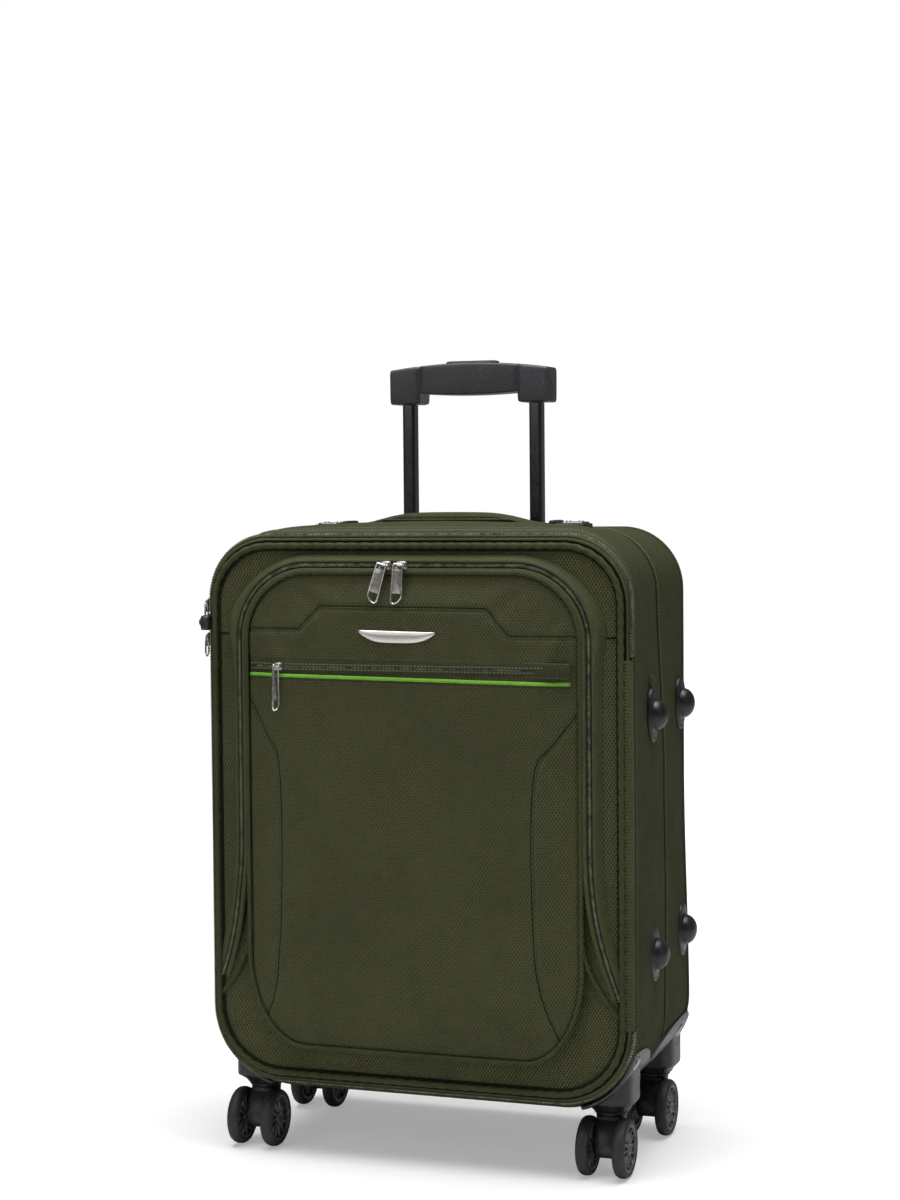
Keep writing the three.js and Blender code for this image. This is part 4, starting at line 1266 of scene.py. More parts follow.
def bandPath(step=3.0):
    # the zip's own line: out of the right-hand tail, over the top and down into the left-hand one
    side = pocket["half"] + band["out"]
    top = pocket["top"] + band["topOut"]
    right = []
    for z in np.linspace(band["tailEnd"], band["tailTop"], 30):
        drop = (band["tailTop"] - z) / (band["tailTop"] - band["tailEnd"])
        right.append((side + band["tailReach"] * drop ** 2.3, z))
    r = band["radius"]
    for k in range(0, 25):
        angle = pi / 2 * k / 24
        right.append((side - r + r * cos(angle), top - r + r * sin(angle)))
    left = [(-x, z) for x, z in right[::-1]]
    return resample(np.array(right + left), step)


def bandRows(profile, step=3.0, flare=0.0):
    path = bandPath(step)
    base = lid["front"] - 0.6
    height = 0.12 + 0.88 * smooth(150, 240, path[:, 1])
    wide = flare * np.exp(-((path[:, 1] - 468) / 24) ** 2)
    profile = np.asarray(profile, float)
    stack = np.repeat(profile[None], len(path), 0)
    stack[:, :, 1] = base + (stack[:, :, 1] - base) * height[:, None]
    grow = (profile[:, 0] > 3.9).astype(float)
    stack[:, :, 0] += wide[:, None] * grow[None]
    return path, ringRows(path, stack, closed=False)


def addStrip(name, profile, material, body, flare=0.0, replaces=(), slot="zip_fabric"):
    _, rows = bandRows(profile, flare=flare)
    strip = Skin()
    strip.bar(rows)
    return strip.build(name, material, body, slot, replaces)


def makePocketBand():
    back = lid["front"] - 0.5
    inner = [(-6.6, back), (-6.9, -101.0), (-6.2, -103.3), (-4.9, -103.9), (-3.4, -103.4), (-2.5, -102.2),
             (-2.2, back)]
    addStrip("pocket_band_inner", inner, "edging", flapBend)
    # painted shade: the two zip tapes sunk between the bands are drawn in the near-black cloth
    tape1 = [(-2.6, back), (-2.6, -101.9), (-1.2, -101.5), (-0.25, -101.4), (-0.25, back)]
    addStrip("pocket_zip_tape_flap_side", tape1, "groove", flapBend)
    tape2 = [(0.25, back), (0.25, -101.4), (1.2, -101.5), (2.6, -101.6), (2.6, back)]
    addStrip("pocket_zip_tape_lid_side", tape2, "groove", "lid")
    outer = [(2.2, back), (2.3, -101.9), (3.2, -102.5), (4.2, -101.9), (6.0, -99.4), (7.8, -96.4),
             (9.2, -94.7), (9.6, back)]
    addStrip("pocket_band_outer", outer, "edging", "lid", flare=5.0, replaces=["pocket_zip_band"])
    path, rows = bandRows([(-0.6, -101.6), (0.6, -101.6)], step=band["pitch"])
    normals = outward(path, closed=False)
    for k, (side, sign, body) in enumerate((("flap", -1, flapBend), ("lid", 1, "lid"))):
        teeth = Skin()
        line = rows[:, k]
        along = np.gradient(line, axis=0)
        along /= np.linalg.norm(along, axis=1)[:, None]
        for p, t, n in zip(line, along, normals):
            out = np.array([n[0], 0, n[1]])
            addBlock(teeth, p + t * 0.5 * sign + np.array([0, -0.35, 0]), (0.95, 2.0, 1.1),
                     (t, out, (0, -1, 0)), taper=0.7)
        teeth.build(f"pocket_zip_teeth_{side}_side", "teeth", body, flatShade=True)
    # stitching along the outer edge of the band
    thread = Skin()
    _, rows = bandRows([(8.6, -95.6)], flare=5.0)
    addStitches(thread, rows[3:-3, 0], lift=0.1)
    thread.build("pocket_band_stitches", "thread", "lid", "zip_fabric")
    # the cord that leaves the pocket's edge and runs out with each tail
    for side, sign in (("right", 1), ("left", -1)):
        tail = curveThrough([(149.5 * sign, 207), (152.5 * sign, 188), (160 * sign, 170),
                             (170 * sign, 154), (180 * sign, 141)])
        depth = np.interp(tail[:, 1], [141, 165, 190, 207], [-94.2, -96.5, -100.2, -102.0])
        cord = Skin()
        addTube(cord, np.stack([tail[:, 0], depth, tail[:, 1]], 1), 2.1, 10, twist=0.13)
        cord.build(f"tail_corded_edge_{side}", "cord", "lid")


frontY = makePocketPanel()
makePocketTrim(frontY)
makePocketBand()
print("pocket made")


def makeBadge():
    look = dict(left=-43.5, right=26.0, top=462.3, bottom=451.0, drop=1.2)
    middle = (look["left"] + look["right"]) / 2
    half = (look["right"] - look["left"]) / 2
    lower = []
    tall = look["top"] - look["bottom"] - 2.0
    for k in np.linspace(-1, 1, 40):
        z = look["bottom"] + tall * abs(k) ** 3.4 - look["drop"] * (k > 0) * k ** 2
        lower.append((middle + half * k, z))
    badge = Skin()
    base = min(frontY(x, 457) for x in (-40, -10, 20)) + 0.4
    rows = []
    for x, z in lower:
        ridge = look["top"] - look["drop"] * (x - look["left"]) / (2 * half)
        tall = max(ridge - z, 0.6)
        proud = 2.0 * min(1, tall / 5.0) ** 0.6
        rows.append([(x, base, z), (x, base - proud * 0.6, z + tall * 0.06),
                     (x, base - proud * 0.95, z + tall * 0.3), (x, base - proud, z + tall * 0.6),
                     (x, base - proud * 0.92, z + tall * 0.84), (x, base - proud * 0.6, z + tall * 0.97),
                     (x, base, ridge)])
    badge.bar(rows)
    badge.build("badge", "badge", "pocket_flap", replaces=["badge_plate"])


def turned(points, angle, pivot=(0, 0, 0)):
    # turns points about a line along Y
    c, s = cos(radians(angle)), sin(radians(angle))
    p = np.asarray(points, float) - pivot
    return np.stack([p[:, 0] * c - p[:, 2] * s, p[:, 1], p[:, 0] * s + p[:, 2] * c], 1) + pivot


def placed(skin, frameAxes, origin):
    # local x, y (out of the cloth is -y) and z, carried to the given axes and origin
    points = np.array(skin.points) @ np.array(frameAxes, float) + np.array(origin, float)
    skin.points = points.tolist()
    return skin


def sliderSkin(length=12.0, width=8.4, deep=3.2):
    # the zip runs along local x; two shield plates, a nose between them and an arched bridge
    skin = Skin()
    shield = np.stack(softSquare(around(32), 0.6, 0.75), 1) * [length / 2, width / 2]
    shield[:, 1] *= np.interp(shield[:, 0], [-length / 2, length / 2], [0.78, 1.0])
    addPlate(skin, shield, 0.6, -0.6, "y", edge=0.35)
    addPlate(skin, shield * 0.94, -deep + 1.6, -deep, "y", edge=0.7, dome=0.6)
    addPlate(skin, shield * [0.3, 0.25], -0.4, -deep + 1.4, "y", edge=0.2)
    arch = [(-length * 0.36 + length * 0.72 * t, -deep - 2.6 * sin(pi * t) ** 0.7, 0)
            for t in np.linspace(0, 1, 14)]
    addTube(skin, arch, 0.95, 10, up=(0, 0, 1))
    return skin


def pullSkins(length=36.0, width=10.0, slant=4.0, lean=0.0, twist=0.0):
    # a flat pull: its raised bright rim, and the plate that leaves a window near the lower end
    edge, middle = Skin(), Skin()
    w = width / 2
    outline = curveCorners([(-w + 0.6, 1.5), (w - 0.6, 1.5), (w, -length + 2.5 + slant),
                            (w * 0.25, -length + slant * 0.4), (-w * 0.6, -length), (-w, -length + 2.5)],
                            1.4)
    rim = place3(outline, 0, "y")
    addTube(edge, rim, 0.8, 8, closed=True, flatten=1.2)
    plate = np.array([(-w + 0.5, -3.2), (w - 0.5, -3.2), (w - 0.4, -length + 9), (-w + 0.4, -length + 9)])
    addPlate(middle, resampleTo(plate, 40), 0.35, -0.35, "y", edge=0.15)
    c, s = cos(radians(twist)), sin(radians(twist))
    for skin in (edge, middle):
        points = turned(np.array(skin.points), lean)
        skin.points = np.stack([points[:, 0] * c - points[:, 1] * s, points[:, 0] * s + points[:, 1] * c,
                                points[:, 2]], 1).tolist()
    return edge, middle


def buildPull(skins, axes, origin, body, node):
    for skin, part, finish in zip(skins, ("rim", "plate"), ("chrome", "silver")):
        placed(skin, axes, origin)
        skin.build(f"{body}_{part}", finish, body, "silver_metal", [node] if part == "plate" else ())


def curveCorners(points, radius, steps=5):
    # rounds each corner of a closed outline
    points = np.asarray(points, float)
    out = []
    for k in range(len(points)):
        before, here, after = points[k - 1], points[k], points[(k + 1) % len(points)]
        a = here + (before - here) / np.linalg.norm(before - here) * radius
        b = here + (after - here) / np.linalg.norm(after - here) * radius
        out.extend(quadratic(a, here, b, t) for t in np.linspace(0, 1, steps))
    return np.array(out)


def softBox(left, right, low, high, radius):
    return curveCorners([(left, low), (right, low), (right, high), (left, high)], radius)


upright = np.eye(3)
facingLeft = [(0, 0, 1), (1, 0, 0), (0, 1, 0)]  # zip along Z, out of the cloth along -X


def makeSliders():
    for side, lean, slant in (("left", -17, -1), ("right", -4, 1)):
        low, high = boxOf(f"pocket_slider_{side}")
        origin = np.array([(low[0] + high[0]) / 2, high[1] + 1.6, (low[2] + high[2]) / 2])
        body = placed(sliderSkin(), upright, origin)
        body.build(f"pocket_zip_slider_{side}_metal", "silver", f"pocket_zip_slider_{side}",
                   replaces=[f"pocket_slider_{side}"])
        pull = pullSkins(32.5, 9.4, 3.4, lean * slant)
        if slant < 0:
            for skin in pull:
                skin.points = [(-x, y, z) for x, y, z in skin.points]
        place = (origin[0] + slant * 0.4, boxOf(f"pocket_pull_{side}")[0][1] + 0.9, origin[2] + 0.2)
        buildPull(pull, upright, place, f"pocket_zip_pull_{side}", f"pocket_pull_{side}")
    low, high = boxOf("small_slider")
    origin = np.array([(low[0] + high[0]) / 2, high[1] + 0.6, (low[2] + high[2]) / 2])
    placed(sliderSkin(9.0, 7.6, 2.8), upright, origin).build(
        "small_zip_slider_metal", "silver", "small_zip_slider", replaces=["small_slider"])
    hang = (origin[0], boxOf("small_pull")[0][1] + 0.6, origin[2])
    buildPull(pullSkins(38.0, 6.5, 2.5, 0, 62), upright, hang, "small_zip_pull", "small_pull")
    for level in ("upper", "lower"):
        low, high = boxOf(f"main_slider_{level}")
        origin = np.array([high[0] + 0.6, (low[1] + high[1]) / 2, (low[2] + high[2]) / 2])
        placed(sliderSkin(13.0, 8.0, 3.4), facingLeft, origin).build(
            f"main_zip_slider_{level}_metal", "silver", f"main_zip_slider_{level}",
            replaces=[f"main_slider_{level}"])
        low, high = boxOf(f"main_pull_{level}")
        buildPull(pullSkins(15.0, 6.4, 1.5), [(0, 1, 0), (1, 0, 0), (0, 0, 1)],
                  (low[0] + 0.6, origin[1], origin[2]), f"main_zip_pull_{level}", f"main_pull_{level}")


def makeKeeper():
    # the moulded block between the two main sliders, with a ring for a small padlock
    block = Skin()
    x = -case["half"] - 1
    addPlate(block, softBox(-103, -80, 459.5, 472.5, 3.0), x + 2, x - 5.5, "x", edge=1.2, dome=0.8)
    block.build("zip_keeper", "black", "case")
    ring = Skin()
    k = around(28)
    line = np.stack([x - 8.2 + 3.4 * np.cos(k), np.full(28, -91.0), 466 + 3.4 * np.sin(k)], 1)
    addTube(ring, line, 0.9, 8, closed=True)
    ring.build("zip_keeper_ring", "steel", "case")


makeBadge()
makeSliders()
makeKeeper()
print("badge and sliders made")


def roundedBlockRows(stations, corner=5.0, sides=40, crease=0.0):
    # stations along X of (x, yFront, yBack, zLow, zHigh); each section is a soft-cornered rectangle
    k = around(sides) + pi / sides
    rows = []
    for x, y0, y1, z0, z1 in stations:
        hy, hz = (y1 - y0) / 2, (z1 - z0) / 2
        power = 2 / (2 + 0.9 * min(hy, hz) / (corner * 0.25))
        cy, cz = softSquare(k, power, power)
        y = (y0 + y1) / 2 + hy * cy
        z = (z0 + z1) / 2 + hz * cz
        if crease:
            # the front and back faces fold outwards along a line above the middle
            fold = 1 - np.abs((z - (z0 + z1 * 1.6) / 2.6) / (z1 - z0) * 1.7)
            y = y + np.sign(cy) * np.clip(fold, 0, 1) * crease * (np.abs(cy) > 0.8)
        rows.append(np.stack([np.full(sides, x), y, z], 1))
    return rows


def makeGrip():
    low, high = boxOf("handle_grip")
    middleY = (low[1] + high[1]) / 2
    look = dict(leg=29.0, legDepth=14.0, barDepth=13.0, crown=high[2], corner=high[2] - 5.5,
                underside=667.5, foot=low[2])
    half = high[0]
    inner = half - look["leg"]

    def topAt(x):
        return look["corner"] + (look["crown"] - look["corner"]) * (1 - (x / half) ** 2)

    def leg(x, shrink):
        return (x, middleY - look["legDepth"] + shrink, middleY + look["legDepth"] - shrink,
                look["foot"] + shrink * 0.7, topAt(x) - shrink * 0.5)

    side = [(half, 1.6), (half - 0.5, 0.6), (half - 1.4, 0.1), (half - 3, 0.0), (half - 14, 0.0),
            (inner + 4.2, 0.0), (inner + 3.4, 0.1), (inner + 0.9, 0.9), (inner + 0.3, 1.5)]
    stations = [leg(x, shrink) for x, shrink in side]
    for x in np.linspace(inner, -inner, 21):
        bow = 1 - (x / inner) ** 2
        stations.append((x, middleY - look["barDepth"] - 0.5 * bow, middleY + look["barDepth"] + 0.5 * bow,
                         look["underside"] - 1.8 * bow, topAt(x)))
    stations += [leg(-x, shrink) for x, shrink in side[::-1]]
    grip = Skin()
    rows = roundedBlockRows(stations, crease=1.0)
    grip.bar(rows)
    grip.build("grip_moulding", "grey", "handle_top", replaces=["handle_grip"])
    button = Skin()
    low, high = boxOf("handle_button")
    outline = roundedPath(low[0], high[0], low[1], high[1], 5.8, 5.8, 2.0)
    addPlate(button, outline, low[2], high[2] - 0.8, "z", edge=0.8, dome=0.7)
    button.build("release_button", "black", "button", replaces=["handle_button"])


makeGrip()


def padRows(length, width, base, crest, gap, sides=24, step=3.5):
    # local l along the handle, w across it, h away from the case
    ls = np.arange(-length, length + 0.1, step)
    k = around(sides)
    rows = []
    for l in ls:
        t = abs(l) / length
        lift = gap * (1 - smooth(0.62, 0.9, t))
        top = base + 5.0 + (crest - base - 5.0) * (1 - smooth(0.35, 1.0, t))
        half = width / 2 * (1 - 0.14 * smooth(0.6, 1.0, t))
        low = base + lift
        hz = (top - low) / 2
        w, h = softSquare(k, 0.62, 0.75)
        rows.append(np.stack([np.full(sides, l), half * w, (top + low) / 2 + hz * h], 1))
    return np.array(rows)


def makeCarryHandle(name, toWorld, length, width, base, crest, gap, body, strapEnd, rise, replaced):
    rows = padRows(length, width, base, crest, gap)
    skin = Skin()
    skin.grid(toWorld(rows.reshape(-1, 3)).reshape(rows.shape), closeCols=True)
    skin.cap(toWorld(rows[0])[::-1])
    skin.cap(toWorld(rows[-1]))
    centre = toWorld(np.array([[0.0, 0.0, 0.0]]))[0]
    outwards = toWorld(np.array([[0.0, 0.0, 1.0]]))[0] - centre
    lengthwise = toWorld(np.array([[1.0, 0.0, 0.0]]))[0] - centre
    bottom = base + 0.3
    rest, moved, faces = swell(skin, name + "_air", 4.0, 3.5,
                               lambda p: abs((p - centre) @ lengthwise) > length - 9, 14)
    final = capped(rest, moved, 1.4)
    height = (final - centre) @ outwards
    final += np.maximum(bottom - height, 0)[:, None] * outwards
    final -= np.maximum(height - crest - 1.2, 0)[:, None] * outwards
    skin = Skin()
    local = np.stack([(final - centre) @ lengthwise, np.zeros(len(final)),
                      final @ np.array([0.3, 1.0, 0.2])], 1)
    skin.add(final, faces, [(p[0] / 1000, p[2] / 1000) for p in local])
    pad = skin.build(name, "nylon", body, replaces=replaced, subdivide=1)
    # rolled edges sewn along both sides of the pad
    rim = Skin()
    for sign in (-1, 1):
        line = []
        for l in np.linspace(-length + 3, length - 3, 70):
            t = abs(l) / length
            lift = gap * (1 - smooth(0.62, 0.9, t))
            half = width / 2 * (1 - 0.14 * smooth(0.6, 1.0, t))
            line.append((l, sign * (half + 0.4), base + lift + 2.4))
        addTube(rim, toWorld(np.array(line)), 1.25, 8, twist=0.12)
    rim.build(name + "_edges", "cord", body)
    # the flat straps that run from the pad under the end plates
    for end, sign in (("a", -1), ("b", 1)):
        strap = Skin()
        rows = []
        for l in np.linspace(length - 14, strapEnd, 16):
            level = base + rise + 0.8 * sin((l - length) / 9)
            section = [(-width * 0.38, level - 1), (width * 0.38, level - 1), (width * 0.4, level),
                       (width * 0.38, level + 1), (-width * 0.38, level + 1), (-width * 0.4, level)]
            rows.append([(sign * l, w, h) for w, h in section])
        rows = toWorld(np.array(rows).reshape(-1, 3)).reshape(len(rows), 6, 3)
        strap.bar(rows)
        ends = toWorld(np.array([[sign * (strapEnd - 3.0), 0, base],
                                 [sign * (length - 6.0), 0, base]])) / 1000
        bend = dict(first="case", second=body, start=tuple(ends[0]), end=tuple(ends[1]))
        strap.build(f"{name}_strap_{end}", "webbing", bend, "plain_nylon")


topLow, topHigh = boxOf("carry_handle")
sideLow, sideHigh = boxOf("side_handle")
topMiddle = np.array([0, (topLow[1] + topHigh[1]) / 2, 0])
sideMiddle = np.array([sideHigh[0], (sideLow[1] + sideHigh[1]) / 2, (sideLow[2] + sideHigh[2]) / 2])


def topWorld(p):
    return np.stack([p[:, 0], p[:, 1], p[:, 2]], 1) + topMiddle


def sideWorld(p):
    return np.stack([-p[:, 2], p[:, 1], p[:, 0]], 1) + sideMiddle


makeCarryHandle("carry_handle_pad", topWorld, topHigh[0] - 2, 30.0, topLow[2], topHigh[2] - 0.4, 5.5,
                "top_carry", 122.0, 3.8, ["carry_handle"])
makeCarryHandle("side_handle_pad", sideWorld, (sideHigh[2] - sideLow[2]) / 2 - 2, 27.0, 0.3, 13.2, 5.5,
                "side_carry", 97.0, 2.2, ["side_handle"])


def makeBrackets():
    for side in ("left", "right"):
        low, high = boxOf(f"carry_bracket_{side}")
        sign = 1 if side == "right" else -1
        cover = Skin()
        outline = roundedPath(low[0], high[0], low[1], high[1], 6, 6, 2.0)
        addPlate(cover, outline, low[2] - 0.4, high[2] - 2.2, "z", edge=1.0)
        inner = sorted((sign * 94, sign * 100))
        outline = roundedPath(inner[0], inner[1], low[1] + 0.5, high[1] - 0.5, 2.4, 2.4, 2.0)
        addPlate(cover, outline, low[2], high[2] + 0.6, "z", edge=1.0, dome=0.3)
        cover.build(f"carry_bracket_cover_{side}", "black", "case", replaces=[f"carry_bracket_{side}"])
        plate = Skin()
        ends = sorted((sign * 103.0, sign * 124.5))
        outline = roundedPath(ends[0], ends[1], low[1] + 3, high[1] - 3, 4, 4, 2.0)
        addPlate(plate, outline, high[2] - 2.6, high[2] - 0.9, "z", edge=0.6, dome=0.3)
        for x in (sign * 108, sign * 119.5):
            addLathe(plate, [(2.6, high[2] - 1.2), (2.5, high[2] - 0.2), (1.6, high[2] + 0.3),
                             (0, high[2] + 0.4)], (x, (low[1] + high[1]) / 2, 0), "z", 16)
        plate.build(f"carry_bracket_plate_{side}", "steel", "case")
    # stitched patches where the side handle's straps meet the case
    for level, end in ((-1, "lower"), (1, "upper")):
        patch = Skin()
        z = sideMiddle[2] + level * 96
        outline = softBox(sideMiddle[1] - 16, sideMiddle[1] + 16, z - 13, z + 13, 3)
        addPlate(patch, outline, -case["half"] + 2.5, -case["half"] - 1.6, "x", edge=0.8)
        patch.build(f"side_handle_patch_{end}", "nylonStitched", "case")
        threads = Skin()
        outline = softBox(sideMiddle[1] - 13, sideMiddle[1] + 13, z - 10, z + 10, 2)
        ring = place3(outline, -case["half"] - 1.7, "x")
        addStitches(threads, np.vstack([ring, ring[:1]]), up=(-1, 0, 0), pitch=3.2)
        threads.build(f"side_handle_stitches_{end}", "edging", "case", "plain_nylon")


makeBrackets()
print("handles made")


def makeFeet():
    for name in ("side_foot_front_upper", "side_foot_front_lower", "side_foot_rear_upper",
                 "side_foot_rear_lower"):
        low, high = boxOf(name)
        centre = np.array([0, (low[1] + high[1]) / 2, (low[2] + high[2]) / 2])
        base = low[0]
        foot = Skin()
        profile = [(14.6, base - 3), (14.6, base + 1.6), (14.2, base + 2.4), (13.6, base + 2.8)]
        for k in range(0, 11):
            a = pi / 2 * k / 10
            profile.append((13.4 * cos(a) ** 0.9 if k < 10 else 0, base + 2.6 + 10.9 * sin(a)))
        addLathe(foot, profile, centre, "x", 40)
        half = (high[2] - low[2]) / 2
        outline = []
        for k in around(72):
            ear = abs(sin(k)) ** 3.2
            r = 15.2 + (half - 15.2) * ear
            outline.append((centre[1] + r * cos(k), centre[2] + r * sin(k)))
        addPlate(foot, outline, base - 3, base + 2.0, "x", edge=0.8)
        foot.build(name + "_moulding", "satin", "case", replaces=[name])
        screws = Skin()
        for sign in (-1, 1):
            at = centre + np.array([0, 0, sign * (half - 3.0)])
            addLathe(screws, [(1.6, base + 1.0), (1.6, base + 1.9), (1.1, base + 2.3), (0, base + 2.4)],
                     at, "x", 16)
            addBlock(screws, at + np.array([base + 2.4, 0, 0]), (0.3, 0.4, 2.0))
        screws.build(name + "_screws", "black", "case")
    # the little tag of tape above the upper front foot
    low, high = boxOf("side_foot_front_upper")
    tag = Skin()
    middle = (low[1] + high[1]) / 2
    rows = []
    for t in np.linspace(0, 1, 9):
        bow = 2.4 * sin(pi * t)
        z = high[2] + 1 + 9 * t
        rows.append([(low[0] - 1.5 + bow + k, middle + w, z)
                     for k, w in ((0, -2.2), (0.7, -2.4), (0.7, 2.4), (0, 2.2))])
    tag.bar(rows)
    tag.build("side_tape_tag", "edging", "case", "zip_fabric")


makeFeet()


caster = dict(trail=16.5, radius=25.0, width=11.0, spokes=12)


def addOriented(name, skin, material, body, slot, replaced, at, mirror=1):
    # a shared shape moved to its own corner
    moved = Skin()
    moved.points = [(p[0] * mirror + at[0], p[1] + at[1], p[2] + at[2]) for p in skin.points]
    moved.faces = skin.faces
    moved.cloth = skin.cloth
    moved.build(name, material, body, slot, replaced)


def tyreShape():
    skin = Skin()
    r, half = caster["radius"], caster["width"] / 2
    profile = [(r - 5.6, -half + 1.2), (r - 5.0, -half + 0.3), (r - 4.2, -half), (r - 3.0, -half + 0.1),
               (r - 1.5, -half + 0.9), (r - 0.5, -half + 2.3), (r, -half + 4.2), (r, half - 4.2),
               (r - 0.5, half - 2.3), (r - 1.5, half - 0.9), (r - 3.0, half - 0.1), (r - 4.2, half),
               (r - 5.0, half - 0.3), (r - 5.6, half - 1.2), (r - 5.6, -half + 1.2)]
    addLathe(skin, profile, (0, 0, 0), "x", 56)
    return skin


def hubShape():
    # a web with twelve tapering spokes and a boss on both faces
    skin = Skin()
    r, half = caster["radius"] - 5.3, caster["width"] / 2
    web = [(3.4, -1.2), (r, -1.2), (r, 1.2), (3.4, 1.2), (3.4, -1.2)]
    addLathe(skin, web, (0, 0, 0), "x", 56)
    for sign in (-1, 1):
        rim = [(r - 2.0, sign * 1.0), (r - 1.8, sign * (half - 1.2)), (r - 1.0, sign * (half - 0.5)),
               (r + 0.2, sign * (half - 0.7)), (r + 0.2, sign * 1.0), (r - 2.0, sign * 1.0)]
        addLathe(skin, rim, (0, 0, 0), "x", 56)
        boss = [(5.6, sign * 1.0), (5.4, sign * (half - 1.2)), (4.6, sign * (half - 0.4)),
                (3.0, sign * (half - 0.4)), (2.7, sign * (half - 1.0)), (0, sign * (half - 0.9))]
        addLathe(skin, boss, (0, 0, 0), "x", 32)
        for k in range(caster["spokes"]):
            a = 2 * pi * k / caster["spokes"]
            radial = np.array([0, cos(a), sin(a)])
            tangent = np.array([0, -sin(a), cos(a)])
            corners = []
            for t, w in ((4.8, 2.3), (r - 1.6, 1.3)):
                for depth, share in ((1.0, 1.0), (half - 1.5, 0.75)):
                    for side in (-1, 1):
                        corners.append(radial * t + tangent * side * w / 2 * share + [sign * depth, 0, 0])
            skin.add(corners, [(0, 1, 3, 2), (4, 6, 7, 5), (0, 2, 6, 4), (1, 5, 7, 3), (2, 3, 7, 6),
                               (0, 4, 5, 1)])
    return skin


def forkShape():
    skin = Skin()
    trail, r = caster["trail"], caster["radius"]
    arm = [(quadratic(-14, -trail - 9.5, -trail - 9.5, t), quadratic(47, 36, r, t))
           for t in np.linspace(0, 1, 10)]
    for a in np.linspace(pi, 2 * pi - 0.3, 14)[1:]:
        arm.append((-trail + 9.5 * cos(a), r + 9.5 * sin(a)))
    end = arm[-1]
    arm += [(quadratic(end[0], 2, 12.5, t), quadratic(end[1], 34, 46, t)) for t in np.linspace(0, 1, 8)[1:]]
    arm += [(12.5, 50), (-13, 50)]
    addPlate(skin, resampleTo(np.array(arm), 90), -9.2, 9.2, "x", edge=1.6)
    neck = [(0, 40.5), (10.5, 40.5), (12.2, 42), (12.8, 46), (13.2, 50.5), (14.6, 51.6), (14.8, 52.8),
            (0, 52.9)]
    addLathe(skin, neck, (0, 0, 0), "z", 40)
    # raised ribs down the front and the rear of the neck
    for y in (-12.6, 12.4):
        addBlock(skin, (5.2, y, 45.5), (2.2, 2.2, 9.0))
        addBlock(skin, (-5.2, y, 45.5), (2.2, 2.2, 9.0))
    hubPin = [(0, -10.2), (6.0, -10.2), (6.6, -9.4), (6.6, 9.4), (6.0, 10.2), (0, 10.2)]
    addLathe(skin, hubPin, (0, -trail, r), "x", 32)
    axle = [(0, -20.8), (2.6, -20.8), (3.2, -20.2), (3.2, 20.2), (2.6, 20.8), (0, 20.8)]
    addLathe(skin, axle, (0, -trail, r), "x", 20)
    return skin


def lowerCorner():
    # radius and centre of the case's rounded lower corner
    radius = case["bottomRadius"]
    return radius, case["half"] - radius, case["bottom"] + radius


def cornerZ(x):
    # the underside of the case at |x|
    radius, centreX, centreZ = lowerCorner()
    reach = np.clip(np.abs(x) - centreX, 0, radius - 0.5)
    return centreZ - np.sqrt(radius * radius - reach ** 2)


def housingShape(swivelX):
    # the column under a corner, its top cut to the case's rounded underside
    skin = Skin()
    rows = []
    for half, power, z in ((9.0, 1.0, 53.7), (15.6, 1.0, 53.5), (16.4, 1.0, 54.0), (17.8, 0.85, 57.0),
                           (20.6, 0.62, 59.9), (21.6, 0.5, 61.2), (21.8, 0.45, 63.0)):
        loop = half * np.stack(softSquare(around(64), power, power), 1)
        rows.append(place3(loop, z, "z") + [swivelX, 0, 0])
    wall = rows[-1]
    top = wall.copy()
    top[:, 2] = np.maximum(cornerZ(wall[:, 0]) + 1.6, 64.4)
    for t in (0.5, 1.0):
        ring = wall.copy()
        ring[:, 2] = wall[:, 2] + (top[:, 2] - wall[:, 2]) * t
        rows.append(ring)
    skin.rings(rows)
    skin.cap(rows[0], (0, 1))
    return skin


def cornerPlateShape(rear, swivelY):
    # a wing that wraps the rounded lower corner, its slanting side towards the middle of the case
    if rear:
        slant = curveThrough([(44, 58), (30, 68), (17, 79), (13, 90), (20, 98), (42, 103.5), (80, 106.6),
                              (100, 107.6)])
    else:
        slant = curveThrough([(-24, 58), (-4, 68), (16, 79), (-4, 91), (-21, 100), (-38, 105.5),
                              (-58, 107.6)])
    straight = cadBox[1][1] * 1000 - 1.3 if rear else -80.5
    radius, centreX, centreZ = lowerCorner()
    across = np.concatenate([[0, 0.02, 0.06], np.linspace(0.12, 0.88, 14), [0.94, 0.98, 1]])
    front, back, lip = [], [], []
    for angle in np.linspace(-74, -12.4, 44):
        a = radians(angle)
        near = smooth(-12.4, -19, angle)
        wing = np.interp(centreZ + radius * sin(a), slant[:, 1], slant[:, 0])
        corner = straight + (-9 if rear else 9) * (1 - near) ** 2
        yLow, yHigh = sorted((wing, corner))
        outer, inner = [], []
        for v in across:
            rim = min(v, 1 - v) * (yHigh - yLow)
            lift = 1.3 + 1.7 * sqrt(min(1, rim / 4.0)) * (0.3 + 0.7 * near)
            y = yLow + (yHigh - yLow) * v - swivelY
            outer.append((centreX + (radius + lift) * cos(a), y, centreZ + (radius + lift) * sin(a)))
            inner.append((centreX + (radius - 0.8) * cos(a), y, centreZ + (radius - 0.8) * sin(a)))
        front.append(outer)
        back.append(inner)
        if rear:
            section = [(1.2, -2.2), (1.2, -0.4), (0.4, 0), (-8, 0), (-9, -0.6), (-9, -2.4)]
            lip.append([(centreX + (radius + r) * cos(a), corner + dy - swivelY,
                         centreZ + (radius + r) * sin(a)) for r, dy in section])
    skin = Skin()
    skin.slab(np.array(front), np.array(back))
    if rear:
        skin.bar(lip)
    return skin


